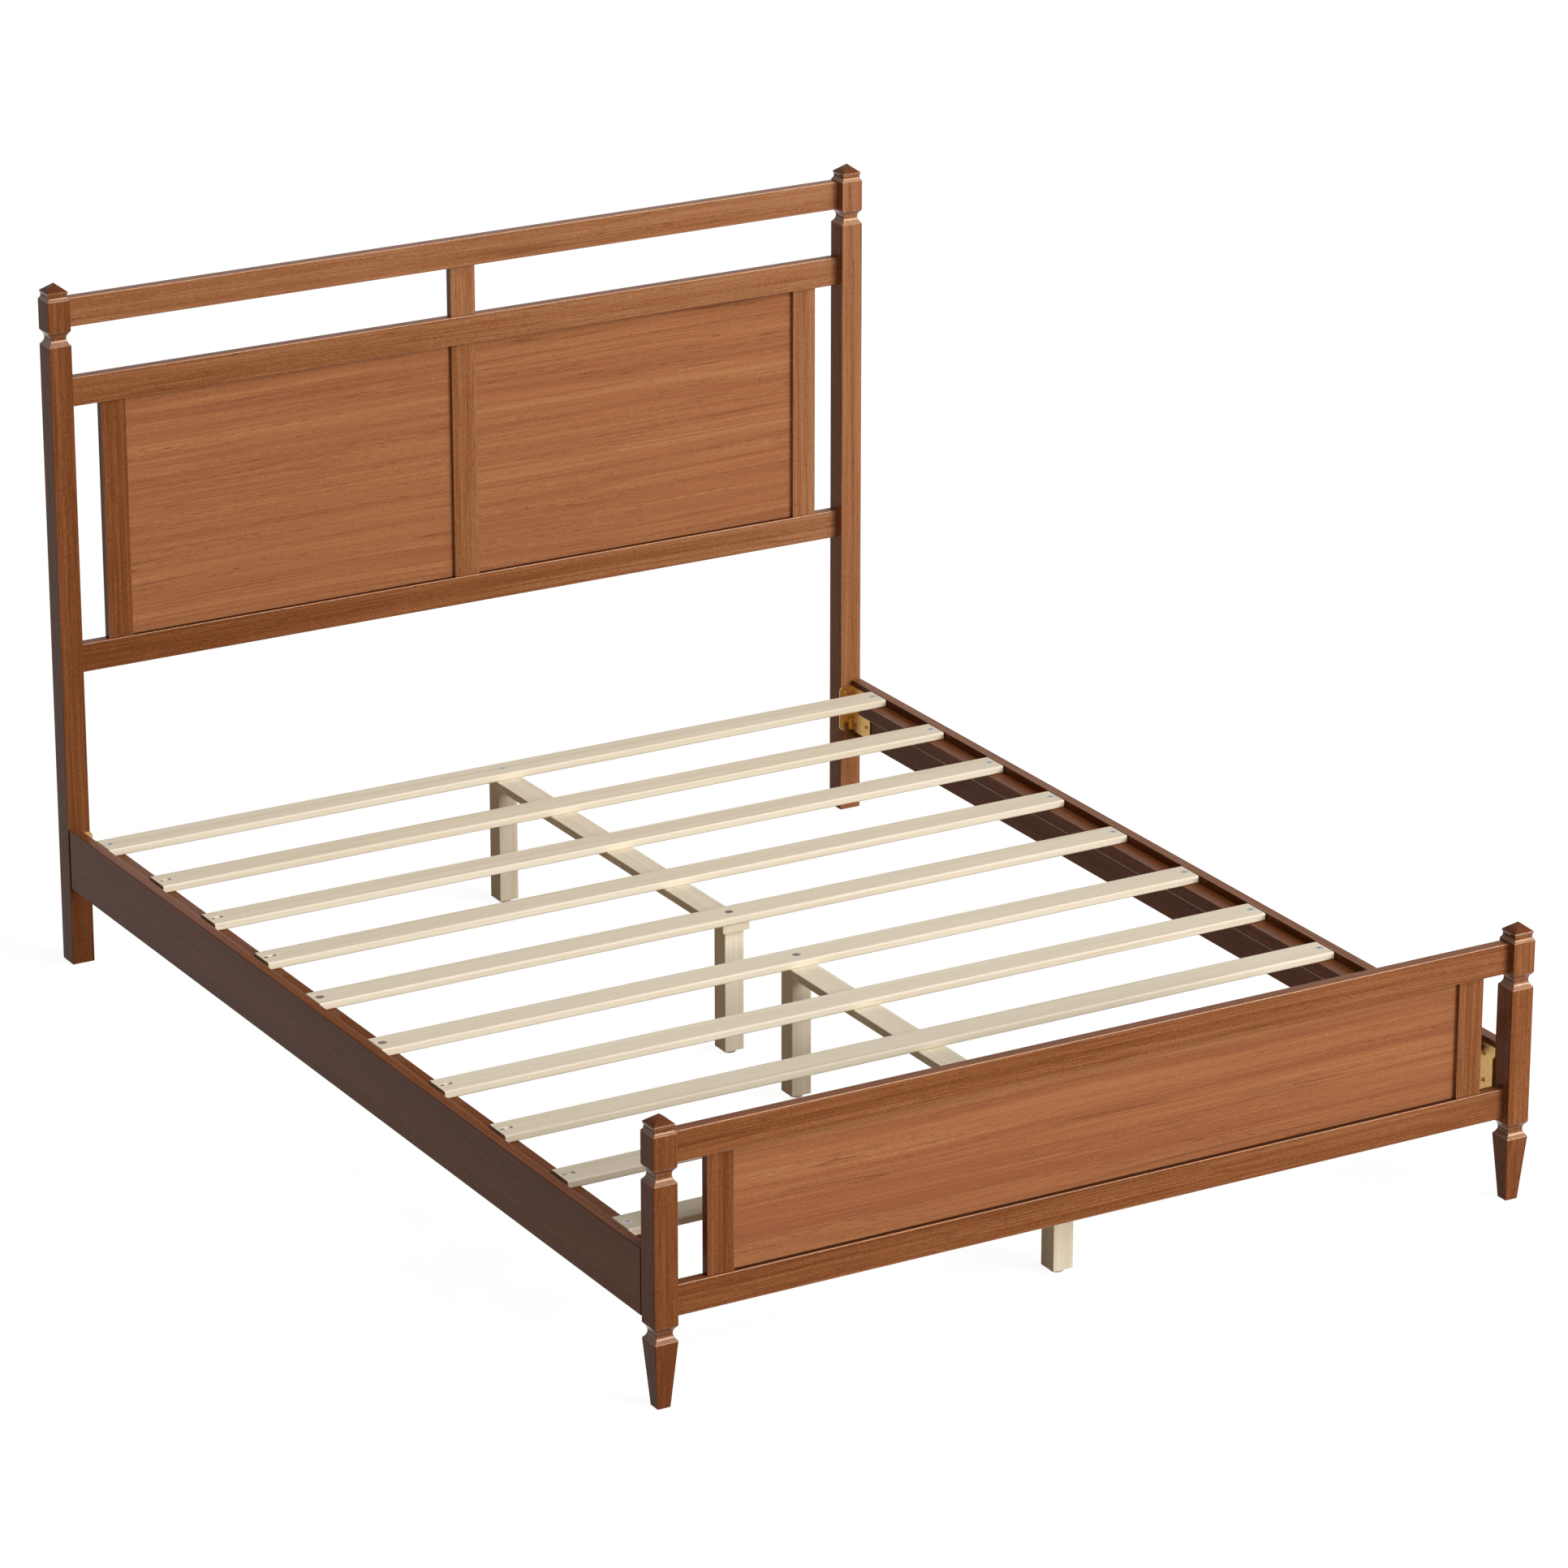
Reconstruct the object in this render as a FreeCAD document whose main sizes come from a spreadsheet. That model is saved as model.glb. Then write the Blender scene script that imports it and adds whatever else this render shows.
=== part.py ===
import FreeCAD, Part
import math
import os
import types

import Sketcher

# Platform bed with a panelled headboard and footboard, side rails on hook-on brackets and
# ten slats over two centre rails. Millimetres, origin on the floor under the middle of the bed,
# +X to the right seen from the foot, +Y towards the headboard, +Z up.

SIZES = {
    # Posts
    "post_size": 41.0,
    "post_edge_radius": 0.8,
    "post_spacing_across": 1550.0,
    "post_spacing_along": 2090.0,
    "headboard_height": 1224.0,
    "footboard_height": 474.0,
    "cap_height": 14.3,
    "cap_setback": 2.0,
    "cap_rim": 1.8,
    "cap_cove_height": 13.0,
    "cap_cove_radius": 10.0,
    "block_height": 53.7,
    "neck_chamfer_height": 3.2,
    "neck_chamfer_depth": 2.2,
    "neck_cove_height": 9.5,
    "neck_cove_radius": 13.0,
    "neck_depth": 6.3,
    "neck_flat": 1.5,
    "neck_flare_height": 4.0,
    "neck_flare_depth": 1.4,
    "neck_flare_radius": 8.0,
    "neck_slope_height": 7.2,
    "foot_neck_top": 135.2,
    "toe_width": 22.5,
    # Rails of the headboard and footboard
    "rail_height": 51.0,
    "rail_thickness": 20.0,
    "rail_edge_radius": 1.5,
    "headboard_rail_recess": 18.6,
    "footboard_rail_recess": 14.7,
    "headboard_top_rail_drop": 81.6,
    "headboard_middle_rail_drop": 222.0,
    "headboard_bottom_rail_bottom": 525.2,
    "footboard_top_rail_drop": 82.8,
    "footboard_bottom_rail_bottom": 142.9,
    "tenon_thickness": 9.0,
    "tenon_shoulder": 10.0,
    "tenon_length": 24.0,
    # Stiles and panels
    "stile_width": 46.0,
    "mullion_width": 48.0,
    "stile_thickness": 16.0,
    "stile_setback": 4.0,
    "stile_edge_radius": 1.0,
    "stile_gap_left": 59.8,
    "stile_gap_right": 43.0,
    "stile_tenon_thickness": 8.0,
    "stile_tenon_shoulder": 10.0,
    "stile_tenon_length": 15.0,
    "panel_thickness": 6.0,
    "panel_setback": 7.0,
    "panel_edge": 7.5,
    # Fits
    "joint_clearance": 0.1,
    "joint_relief": 1.0,
    "running_clearance": 0.05,
    "cut_overrun": 5.0,
    # Side rails and cleats
    "side_rail_thickness": 18.0,
    "side_rail_height": 109.0,
    "side_rail_bottom": 142.5,
    "side_rail_setback": 1.0,
    "side_rail_edge_radius": 2.0,
    "side_rail_end_gap": 0.2,
    "cleat_width": 32.0,
    "cleat_height": 26.0,
    "cleat_edge_radius": 1.5,
    "cleat_end_overhang": 22.5,
    "dowel_diameter": 8.0,
    "dowel_length": 30.0,
    "dowel_depth_in_rail": 11.0,
    "dowel_end_inset": 46.0,
    # Slats
    "slat_width": 55.0,
    "slat_thickness": 13.5,
    "slat_edge_radius": 3.0,
    "end_slat_inset": 101.0,
    "inner_slat_offset": 112.3,
    "slat_right_gap": 2.5,
    "slat_left_gap": 0.5,
    "slotted_slat_gap": 7.0,
    "slat_screw_inset": 14.0,
    "slot_screw_inset": 16.5,
    "slot_width": 10.4,
    "slot_run": 12.0,
    "slot_depth": 3.2,
    "shank_slot_width": 5.4,
    # Centre support
    "centre_rail_width": 51.0,
    "centre_rail_thickness": 14.0,
    "centre_rail_edge_radius": 1.5,
    "centre_rail_overhang": 6.8,
    "leg_size": 36.7,
    "leg_edge_radius": 1.5,
    "top_insert_diameter": 10.0,
    "top_insert_length": 20.0,
    "foot_insert_diameter": 13.0,
    "foot_insert_length": 15.0,
    "foot_disc_diameter": 22.0,
    "foot_disc_thickness": 6.8,
    "foot_disc_gap": 0.2,
    "foot_stud_diameter": 8.0,
    "foot_travel": 12.0,
    # Hook-on brackets and their pins
    "bracket_thickness": 2.5,
    "bracket_height": 86.0,
    "bracket_rise": 13.0,
    "bracket_rail_leg": 71.0,
    "bracket_post_leg": 25.5,
    "bracket_corner_radius": 9.0,
    "hook_slot_width": 9.3,
    "hook_pin_inset": 11.5,
    "hook_pin_rise": 21.5,
    "hook_pin_pitch": 48.0,
    "hook_key_drop": 14.0,
    "hook_key_diameter": 12.0,
    "hook_neck_diameter": 9.0,
    "hook_head_diameter": 11.2,
    "hook_head_height": 2.0,
    "hook_head_gap": 0.2,
    "hook_socket_diameter": 5.5,
    "hook_socket_depth": 3.0,
    "hook_pin_depth": 9.5,
    "bracket_screw_inset": 14.0,
    "bracket_screw_rise": 20.0,
    # Screws
    "slat_screw_head_diameter": 15.0,
    "slat_screw_head_height": 4.0,
    "slat_screw_shank_diameter": 5.0,
    "slat_screw_length": 31.0,
    "slot_screw_head_diameter": 9.6,
    "slot_screw_head_height": 2.6,
    "slot_screw_length": 24.0,
    "centre_screw_shank_diameter": 6.0,
    "centre_screw_length": 46.0,
    "bracket_screw_head_diameter": 8.0,
    "bracket_screw_head_height": 2.2,
    "bracket_screw_shank_diameter": 4.0,
    "bracket_screw_length": 16.0,
    "recess_arm": 1.2,
    "recess_depth": 1.6,
}

POST_FACES = 4
SLATS_PER_GROUP = 5
DOWELS_PER_CLEAT = 6
LEFT = -1
RIGHT = 1
FOOT = -1
HEAD = 1

RECESS_SPAN_SHARE = 0.6


class Size:
    """A length: its value now, and the formula that ties it to the sheet of sizes."""

    def __init__(self, value, formula):
        self.value = value
        self.formula = formula

    def __add__(self, other):
        return Size(self.value + other.value, f"({self.formula} + {other.formula})")

    def __sub__(self, other):
        return Size(self.value - other.value, f"({self.formula} - {other.formula})")

    def __neg__(self):
        return Size(-self.value, f"(0 - {self.formula})")

    def __mul__(self, factor):
        return Size(self.value * factor, f"({self.formula} * ({factor}))")

    def __rmul__(self, factor):
        return self * factor

    def __truediv__(self, divisor):
        return Size(self.value / divisor, f"({self.formula} / {divisor})")


ZERO = Size(0.0, "0")


def sheet_of_sizes(document):
    """Write the driving dimensions into a sheet and return them by name."""
    sheet = document.addObject("Spreadsheet::Sheet", "Sizes")
    for row, (name, value) in enumerate(SIZES.items(), start=1):
        sheet.set(f"A{row}", name)
        sheet.set(f"B{row}", str(value))
        sheet.setAlias(f"B{row}", name)
    document.recompute()
    sizes = {name: Size(float(sheet.get(name)), f"Sizes.{name}") for name in SIZES}
    return types.SimpleNamespace(**sizes)


doc = FreeCAD.newDocument("PlatformBed")
S = sheet_of_sizes(doc)
subparts = []

# Places that several pieces share

post_half = S.post_size / 2
post_x = S.post_spacing_across / 2
post_y = S.post_spacing_along / 2
rail_run = S.post_spacing_across - S.post_size
bed_end = post_y - post_half

rail_y = {
    HEAD: post_y - post_half + S.headboard_rail_recess + S.rail_thickness / 2,
    FOOT: -post_y - post_half + S.footboard_rail_recess + S.rail_thickness / 2,
}
rail_bottoms = {
    HEAD: {
        "top": S.headboard_height - S.headboard_top_rail_drop,
        "middle": S.headboard_height - S.headboard_middle_rail_drop,
        "bottom": S.headboard_bottom_rail_bottom,
    },
    FOOT: {
        "top": S.footboard_height - S.footboard_top_rail_drop,
        "bottom": S.footboard_bottom_rail_bottom,
    },
}
board_names = {HEAD: "headboard", FOOT: "footboard"}
side_names = {LEFT: "left", RIGHT: "right"}
end_names = {HEAD: "head", FOOT: "foot"}

stile_offset = S.stile_setback + S.stile_thickness / 2 - S.rail_thickness / 2
panel_offset = S.stile_setback + S.panel_setback + S.panel_thickness / 2 - S.rail_thickness / 2
stile_x = {
    LEFT: S.stile_gap_left + S.stile_width / 2 - rail_run / 2,
    RIGHT: rail_run / 2 - S.stile_gap_right - S.stile_width / 2,
}
panel_low = stile_x[LEFT] + S.stile_width / 2 - S.panel_edge
panel_high = stile_x[RIGHT] - S.stile_width / 2 + S.panel_edge

side_rail_outer = post_x + post_half - S.side_rail_setback
side_rail_inner = side_rail_outer - S.side_rail_thickness
slat_top = S.side_rail_bottom + S.side_rail_height
slat_bottom = slat_top - S.slat_thickness
end_slat_y = bed_end - S.end_slat_inset
slat_pitch = (end_slat_y - S.inner_slat_offset) / (SLATS_PER_GROUP - 1)
cleat_end = end_slat_y + S.cleat_end_overhang
cleat_inner = side_rail_inner - S.cleat_width

centre_rail_bottom = slat_bottom - S.centre_rail_thickness
leg_bottom = S.foot_disc_thickness + S.foot_disc_gap
stud_reach = S.foot_disc_gap + S.foot_insert_length + S.foot_travel

hook_pin_x = side_rail_inner - S.hook_pin_inset
bracket_bottom = S.side_rail_bottom + S.bracket_rise
hook_pin_z = (
    bracket_bottom + S.hook_pin_rise,
    bracket_bottom + S.hook_pin_rise + S.hook_pin_pitch,
)
bracket_screw_y = (S.bracket_screw_inset, S.bracket_rail_leg - S.bracket_screw_inset)
bracket_screw_z = (S.bracket_screw_rise, S.bracket_height - S.bracket_screw_rise)


# Building blocks


def new_body(label):
    body = doc.addObject("PartDesign::Body", label)
    body.Label = label
    subparts.append(body)
    return body


def place(thing, x, y, z, rotation=FreeCAD.Rotation()):
    """Put a piece or feature at a place that follows the sheet."""
    thing.Placement = FreeCAD.Placement(FreeCAD.Vector(x.value, y.value, z.value), rotation)
    for axis, size in zip("xyz", (x, y, z)):
        thing.setExpression(f"Placement.Base.{axis}", size.formula)


def box(body, kind, name, across, along, up):
    """Add or cut a box between (low, high) pairs in X, Y and Z."""
    feature = body.newObject(f"PartDesign::{kind}Box", name)
    pairs = (across, along, up)
    for edge, (low, high) in zip(("Length", "Width", "Height"), pairs):
        feature.setExpression(edge, (high - low).formula)
    place(feature, *(low for low, high in pairs))
    return feature


TURNS = {
    "+x": FreeCAD.Rotation(FreeCAD.Vector(0, 1, 0), 90),
    "-x": FreeCAD.Rotation(FreeCAD.Vector(0, 1, 0), -90),
    "+y": FreeCAD.Rotation(FreeCAD.Vector(1, 0, 0), -90),
    "-y": FreeCAD.Rotation(FreeCAD.Vector(1, 0, 0), 90),
    "+z": FreeCAD.Rotation(),
    "-z": FreeCAD.Rotation(FreeCAD.Vector(1, 0, 0), 180),
}


def cylinder(body, kind, name, diameter, length, at, towards):
    """Add or cut a cylinder that starts at a point and runs along one axis."""
    feature = body.newObject(f"PartDesign::{kind}Cylinder", name)
    feature.setExpression("Radius", (diameter / 2).formula)
    feature.setExpression("Height", length.formula)
    place(feature, *at, TURNS[towards])
    return feature


def countersink(body, at, head_diameter, shank_diameter, head_height):
    """Cut a cone down from a top face for a flush screw head."""
    feature = body.newObject("PartDesign::SubtractiveCone", "Countersink")
    feature.setExpression("Radius1", (head_diameter / 2 + S.joint_clearance).formula)
    feature.setExpression("Radius2", (shank_diameter / 2 + S.joint_clearance).formula)
    feature.setExpression("Height", head_height.formula)
    place(feature, *at, TURNS["-z"])


def sketch_on(body, role, name):
    sketch = body.newObject("Sketcher::SketchObject", name)
    plane = next(item for item in body.Origin.OriginFeatures if item.Role == role)
    sketch.AttachmentSupport = [(plane, "")]
    sketch.MapMode = "FlatFace"
    return sketch


def name_constraint(sketch, constraint, name, size):
    index = sketch.addConstraint(constraint)
    sketch.renameConstraint(index, name)
    sketch.setExpression(f"Constraints.{name}", size.formula)


def rounded_rectangle(sketch, width, height, radius):
    """A rectangle about the sketch's origin, with rounded corners."""
    half_w, half_h, r = width.value / 2, height.value / 2, radius.value
    centres = (
        (half_w - r, half_h - r),
        (r - half_w, half_h - r),
        (r - half_w, r - half_h),
        (half_w - r, r - half_h),
    )
    normal = FreeCAD.Vector(0, 0, 1)
    corners = []
    for quarter, (x, y) in enumerate(centres):
        circle = Part.Circle(FreeCAD.Vector(x, y, 0), normal, r)
        start = quarter * math.pi / 2
        corners.append(sketch.addGeometry(Part.ArcOfCircle(circle, start, start + math.pi / 2)))
    arcs = [sketch.Geometry[index] for index in corners]
    sides = []
    for index in range(len(arcs)):
        following = (index + 1) % len(arcs)
        line = Part.LineSegment(arcs[index].EndPoint, arcs[following].StartPoint)
        sides.append(sketch.addGeometry(line))
    for index, side in enumerate(sides):
        following = corners[(index + 1) % len(corners)]
        sketch.addConstraint(Sketcher.Constraint("Tangent", corners[index], 2, side, 1))
        sketch.addConstraint(Sketcher.Constraint("Tangent", side, 2, following, 1))
        level = "Horizontal" if index % 2 == 0 else "Vertical"
        sketch.addConstraint(Sketcher.Constraint(level, side))
    for corner in corners[1:]:
        sketch.addConstraint(Sketcher.Constraint("Equal", corners[0], corner))
    sketch.addConstraint(Sketcher.Constraint("Symmetric", corners[0], 3, corners[2], 3, -1, 1))
    radius_rule = Sketcher.Constraint("Radius", corners[0], r)
    name_constraint(sketch, radius_rule, "corner_radius", radius)
    width_rule = Sketcher.Constraint("DistanceX", sides[1], 1, sides[3], 1, width.value)
    name_constraint(sketch, width_rule, "section_width", width)
    height_rule = Sketcher.Constraint("DistanceY", sides[2], 1, sides[0], 1, height.value)
    name_constraint(sketch, height_rule, "section_height", height)


def stock(body, role, width, height, radius, length, symmetric=True):
    """A milled length with eased edges, its section on one of the origin planes."""
    sketch = sketch_on(body, role, "Section")
    rounded_rectangle(sketch, width, height, radius)
    pad = body.newObject("PartDesign::Pad", "Stock")
    pad.Profile = sketch
    pad.SideType = "Symmetric" if symmetric else "One side"
    pad.setExpression("Length", length.formula)
    return pad


def hollow_arc(start, end, radius):
    """An arc between two points with its centre on the left of the way from start to end."""
    chord = end - start
    middle = (start + end) / 2
    left = FreeCAD.Vector(-chord.y, chord.x, 0).normalize()
    centre = middle + left * math.sqrt(radius ** 2 - (chord.Length / 2) ** 2)
    circle = Part.Circle(centre, FreeCAD.Vector(0, 0, 1), radius)
    return Part.ArcOfCircle(circle, circle.parameter(start), circle.parameter(end))


def outline(sketch, corners):
    """A closed outline through (across, up) corners, with a radius where an arc follows."""
    points = [FreeCAD.Vector(corner[0].value, corner[1].value, 0) for corner in corners]
    edges = []
    for index, corner in enumerate(corners):
        start, end = points[index], points[(index + 1) % len(points)]
        if len(corner) > 2:
            edges.append(sketch.addGeometry(hollow_arc(start, end, corner[2].value)))
        else:
            edges.append(sketch.addGeometry(Part.LineSegment(start, end)))
    for index, corner in enumerate(corners):
        edge = edges[index]
        following = edges[(index + 1) % len(edges)]
        sketch.addConstraint(Sketcher.Constraint("Coincident", edge, 2, following, 1))
        for kind, axis, place_now, size in (
            ("DistanceX", -2, points[index].x, corner[0]),
            ("DistanceY", -1, points[index].y, corner[1]),
        ):
            if place_now == 0:
                sketch.addConstraint(Sketcher.Constraint("PointOnObject", edge, 1, axis))
            else:
                rule = Sketcher.Constraint(kind, -1, 1, edge, 1, place_now)
                name_constraint(sketch, rule, f"corner_{index}_{kind}", size)
        if len(corner) > 2:
            rule = Sketcher.Constraint("Radius", edge, corner[2].value)
            name_constraint(sketch, rule, f"arc_{index}", corner[2])


def publish_group(label, shape, places):
    """Identical fasteners as one node of separate solids, each at its own place."""
    copies = []
    for point, towards in places:
        copy = shape.copy()
        at = FreeCAD.Vector(*(size.value for size in point))
        copy.Placement = FreeCAD.Placement(at, TURNS[towards])
        copies.append(copy)
    group = doc.addObject("Part::Feature", label)
    group.Label = label
    group.Shape = Part.makeCompound(copies)
    group.Placement = FreeCAD.Placement()
    subparts.append(group)


# Posts


def cap_waste(top):
    """What is milled off one side above the block: the slope, the rim and the cove."""
    edge = post_half - S.cap_setback
    eaves = top - S.cap_height
    rim_bottom = eaves - S.cap_rim
    block_top = rim_bottom - S.cap_cove_height
    outside = post_half + S.cut_overrun
    return (
        (ZERO, top),
        (edge, eaves),
        (edge, rim_bottom, S.cap_cove_radius),
        (post_half, block_top),
        (outside, block_top),
        (outside, top + S.cut_overrun),
        (ZERO, top + S.cut_overrun),
    )


def neck_bottom(top):
    cove_end = top - S.neck_chamfer_height - S.neck_cove_height
    return cove_end - S.neck_flat - S.neck_flare_height - S.neck_slope_height


def neck_waste(top):
    """What is milled off one side at a neck: chamfer, cove, waist, flare and slope."""
    waist = post_half - S.neck_depth
    chamfer_end = top - S.neck_chamfer_height
    cove_end = chamfer_end - S.neck_cove_height
    flare_start = cove_end - S.neck_flat
    flare_end = flare_start - S.neck_flare_height
    bottom = flare_end - S.neck_slope_height
    outside = post_half + S.cut_overrun
    return (
        (post_half, top),
        (post_half - S.neck_chamfer_depth, chamfer_end, S.neck_cove_radius),
        (waist, cove_end),
        (waist, flare_start, S.neck_flare_radius),
        (waist + S.neck_flare_depth, flare_end),
        (post_half, bottom),
        (outside, bottom),
        (outside, top),
    )


def taper_waste(top):
    """What is sawn off one side below the foot's shoulder."""
    toe = S.toe_width / 2
    outside = post_half + S.cut_overrun
    return (
        (post_half, top),
        (toe, ZERO),
        (toe, -S.cut_overrun),
        (outside, -S.cut_overrun),
        (outside, top),
    )


def mill_all_round(body, wastes):
    """Cut each waste outline from one side, then from all four."""
    pockets = []
    for waste in wastes:
        before = body.Shape.Volume
        sketch = sketch_on(body, "XZ_Plane", "Profile")
        outline(sketch, waste)
        pocket = body.newObject("PartDesign::Pocket", "Milled")
        pocket.Profile = sketch
        pocket.SideType = "Symmetric"
        pocket.setExpression("Length", (S.post_size + S.cut_overrun * 2).formula)
        doc.recompute()
        if body.Shape.Volume >= before:
            raise ValueError(f"{body.Label}: a profile cut nothing")
        pockets.append(pocket)
    pattern = body.newObject("PartDesign::PolarPattern", "FourSides")
    pattern.Originals = pockets
    axis = next(item for item in body.Origin.OriginFeatures if item.Role == "Z_Axis")
    pattern.Axis = (axis, [""])
    pattern.Occurrences = POST_FACES
    body.Tip = pattern
    doc.recompute()


def post(board, side):
    body = new_body(f"{board_names[board]}_post_{side_names[side]}")
    height = S.headboard_height if board == HEAD else S.footboard_height
    stock(body, "XY_Plane", S.post_size, S.post_size, S.post_edge_radius, height, symmetric=False)
    doc.recompute()
    cap = S.cap_height + S.cap_rim + S.cap_cove_height
    wastes = [cap_waste(height), neck_waste(height - cap - S.block_height)]
    if board == FOOT:
        wastes.append(neck_waste(S.foot_neck_top))
        wastes.append(taper_waste(neck_bottom(S.foot_neck_top)))
    mill_all_round(body, wastes)
    post_mortises(body, board, side)
    hook_pin_bores(body, board, side)
    place(body, side * post_x, board * post_y, ZERO)


def post_mortises(body, board, side):
    """A mortise in the inner face for each rail's tenon."""
    depth = S.tenon_length + S.joint_relief
    inner = sorted((-side * post_half, -side * (post_half - depth)), key=lambda size: size.value)
    rail_offset = rail_y[board] - board * post_y
    half_thickness = S.tenon_thickness / 2 + S.joint_clearance
    along = (rail_offset - half_thickness, rail_offset + half_thickness)
    for bottom in rail_bottoms[board].values():
        low = bottom + S.tenon_shoulder - S.joint_clearance
        high = bottom + S.rail_height - S.tenon_shoulder + S.joint_clearance
        box(body, "Subtractive", "Mortise", inner, along, (low, high))


def hook_pin_bores(body, board, side):
    """Two bores for the hook pins in the face that looks along the bed."""
    towards = "+y" if board == HEAD else "-y"
    across = side * (hook_pin_x - post_x)
    for pin_z in hook_pin_z:
        at = (across, -board * post_half, pin_z)
        diameter = S.hook_neck_diameter + S.joint_clearance * 2
        cylinder(body, "Subtractive", "PinBore", diameter, S.hook_pin_depth, at, towards)


# Rails of the headboard and footboard


def board_rail(board, level, stiles, panels):
    """A rail with a tenon at each end, mortises for stiles and grooves for panels."""
    body = new_body(f"{board_names[board]}_{level}_rail")
    stock(body, "YZ_Plane", S.rail_thickness, S.rail_height, S.rail_edge_radius, rail_run)
    tenon_end = rail_run / 2 + S.tenon_length
    tenon_half = S.rail_height / 2 - S.tenon_shoulder
    thickness = S.tenon_thickness / 2
    tenon_across = (-tenon_end, tenon_end)
    box(body, "Additive", "Tenons", tenon_across, (-thickness, thickness), (-tenon_half, tenon_half))
    for centre, width, edge in stiles:
        half = width / 2 - S.stile_tenon_shoulder + S.joint_clearance
        seat(body, (centre - half, centre + half), stile_offset,
             S.stile_tenon_thickness, S.stile_tenon_length, edge)
    for low, high, edge in panels:
        seat(body, (low - S.joint_clearance, high + S.joint_clearance), panel_offset,
             S.panel_thickness, S.panel_edge, edge)
    middle = rail_bottoms[board][level] + S.rail_height / 2
    place(body, ZERO, rail_y[board], middle)


def seat(body, across, offset, thickness, depth, edge):
    """A slot in a rail's top (edge 1) or bottom (edge -1) edge."""
    half = thickness / 2 + S.joint_clearance
    reach = S.rail_height / 2 - depth - S.joint_relief
    outside = S.rail_height / 2 + S.cut_overrun
    up = (reach, outside) if edge > 0 else (-outside, -reach)
    box(body, "Subtractive", "Seat", across, (offset - half, offset + half), up)


# Stiles and panels


def stile(label, board, x, width, below, above, grooves):
    """An upright between two rails, with a tenon at each end and grooves for panels."""
    bottom = rail_bottoms[board][below] + S.rail_height
    top = rail_bottoms[board][above]
    body = new_body(label)
    stock(body, "XY_Plane", width, S.stile_thickness, S.stile_edge_radius, top - bottom)
    half_height = (top - bottom) / 2
    tenon_half = width / 2 - S.stile_tenon_shoulder
    thickness = S.stile_tenon_thickness / 2
    reach = half_height + S.stile_tenon_length
    box(body, "Additive", "Tenons", (-tenon_half, tenon_half), (-thickness, thickness), (-reach, reach))
    groove_half = S.panel_thickness / 2 + S.joint_clearance
    offset = panel_offset - stile_offset
    depth = S.panel_edge + S.joint_clearance
    end = half_height + S.cut_overrun
    for edge in grooves:
        across = (width / 2 - depth, width / 2 + S.cut_overrun)
        if edge == LEFT:
            across = (-across[1], -across[0])
        along = (offset - groove_half, offset + groove_half)
        box(body, "Subtractive", "Groove", across, along, (-end, end))
    place(body, x, rail_y[board] + stile_offset, (top + bottom) / 2)


def panel(label, board, low, high, below, above):
    """A thin board held in grooves on all four edges."""
    bottom = rail_bottoms[board][below] + S.rail_height - S.panel_edge
    top = rail_bottoms[board][above] + S.panel_edge
    body = new_body(label)
    half = S.panel_thickness / 2
    half_width, half_height = (high - low) / 2, (top - bottom) / 2
    box(body, "Additive", "Board", (-half_width, half_width), (-half, half), (-half_height, half_height))
    place(body, (low + high) / 2, rail_y[board] + panel_offset, (top + bottom) / 2)


def headboard():
    mullion_edge = S.mullion_width / 2 - S.panel_edge
    panel_spans = {LEFT: (panel_low, -mullion_edge), RIGHT: (mullion_edge, panel_high)}
    for side in (LEFT, RIGHT):
        post(HEAD, side)
    short = (ZERO, S.mullion_width)
    uprights = [(x, S.stile_width) for x in stile_x.values()] + [short]
    board_rail(HEAD, "top", [(*short, -1)], [])
    board_rail(HEAD, "middle", [(*short, 1)] + [(*upright, -1) for upright in uprights],
               [(*span, -1) for span in panel_spans.values()])
    board_rail(HEAD, "bottom", [(*upright, 1) for upright in uprights],
               [(*span, 1) for span in panel_spans.values()])
    stile("headboard_short_stile", HEAD, ZERO, S.mullion_width, "middle", "top", ())
    stile("headboard_mullion", HEAD, ZERO, S.mullion_width, "bottom", "middle", (LEFT, RIGHT))
    for side in (LEFT, RIGHT):
        name = side_names[side]
        stile(f"headboard_stile_{name}", HEAD, stile_x[side], S.stile_width,
              "bottom", "middle", (-side,))
        panel(f"headboard_panel_{name}", HEAD, *panel_spans[side], "bottom", "middle")


def footboard():
    for side in (LEFT, RIGHT):
        post(FOOT, side)
    uprights = [(x, S.stile_width) for x in stile_x.values()]
    board_rail(FOOT, "top", [(*upright, -1) for upright in uprights],
               [(panel_low, panel_high, -1)])
    board_rail(FOOT, "bottom", [(*upright, 1) for upright in uprights],
               [(panel_low, panel_high, 1)])
    for side in (LEFT, RIGHT):
        stile(f"footboard_stile_{side_names[side]}", FOOT, stile_x[side], S.stile_width,
              "bottom", "top", (-side,))
    panel("footboard_panel", FOOT, panel_low, panel_high, "bottom", "top")


# Side rails and cleats


def dowel_places():
    """How far along the bed each dowel of a cleat lies."""
    first = cleat_end - S.dowel_end_inset
    pitch = first * 2 / (DOWELS_PER_CLEAT - 1)
    return [first - pitch * index for index in range(DOWELS_PER_CLEAT)]


cleat_middle = slat_bottom - S.cleat_height / 2


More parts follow.
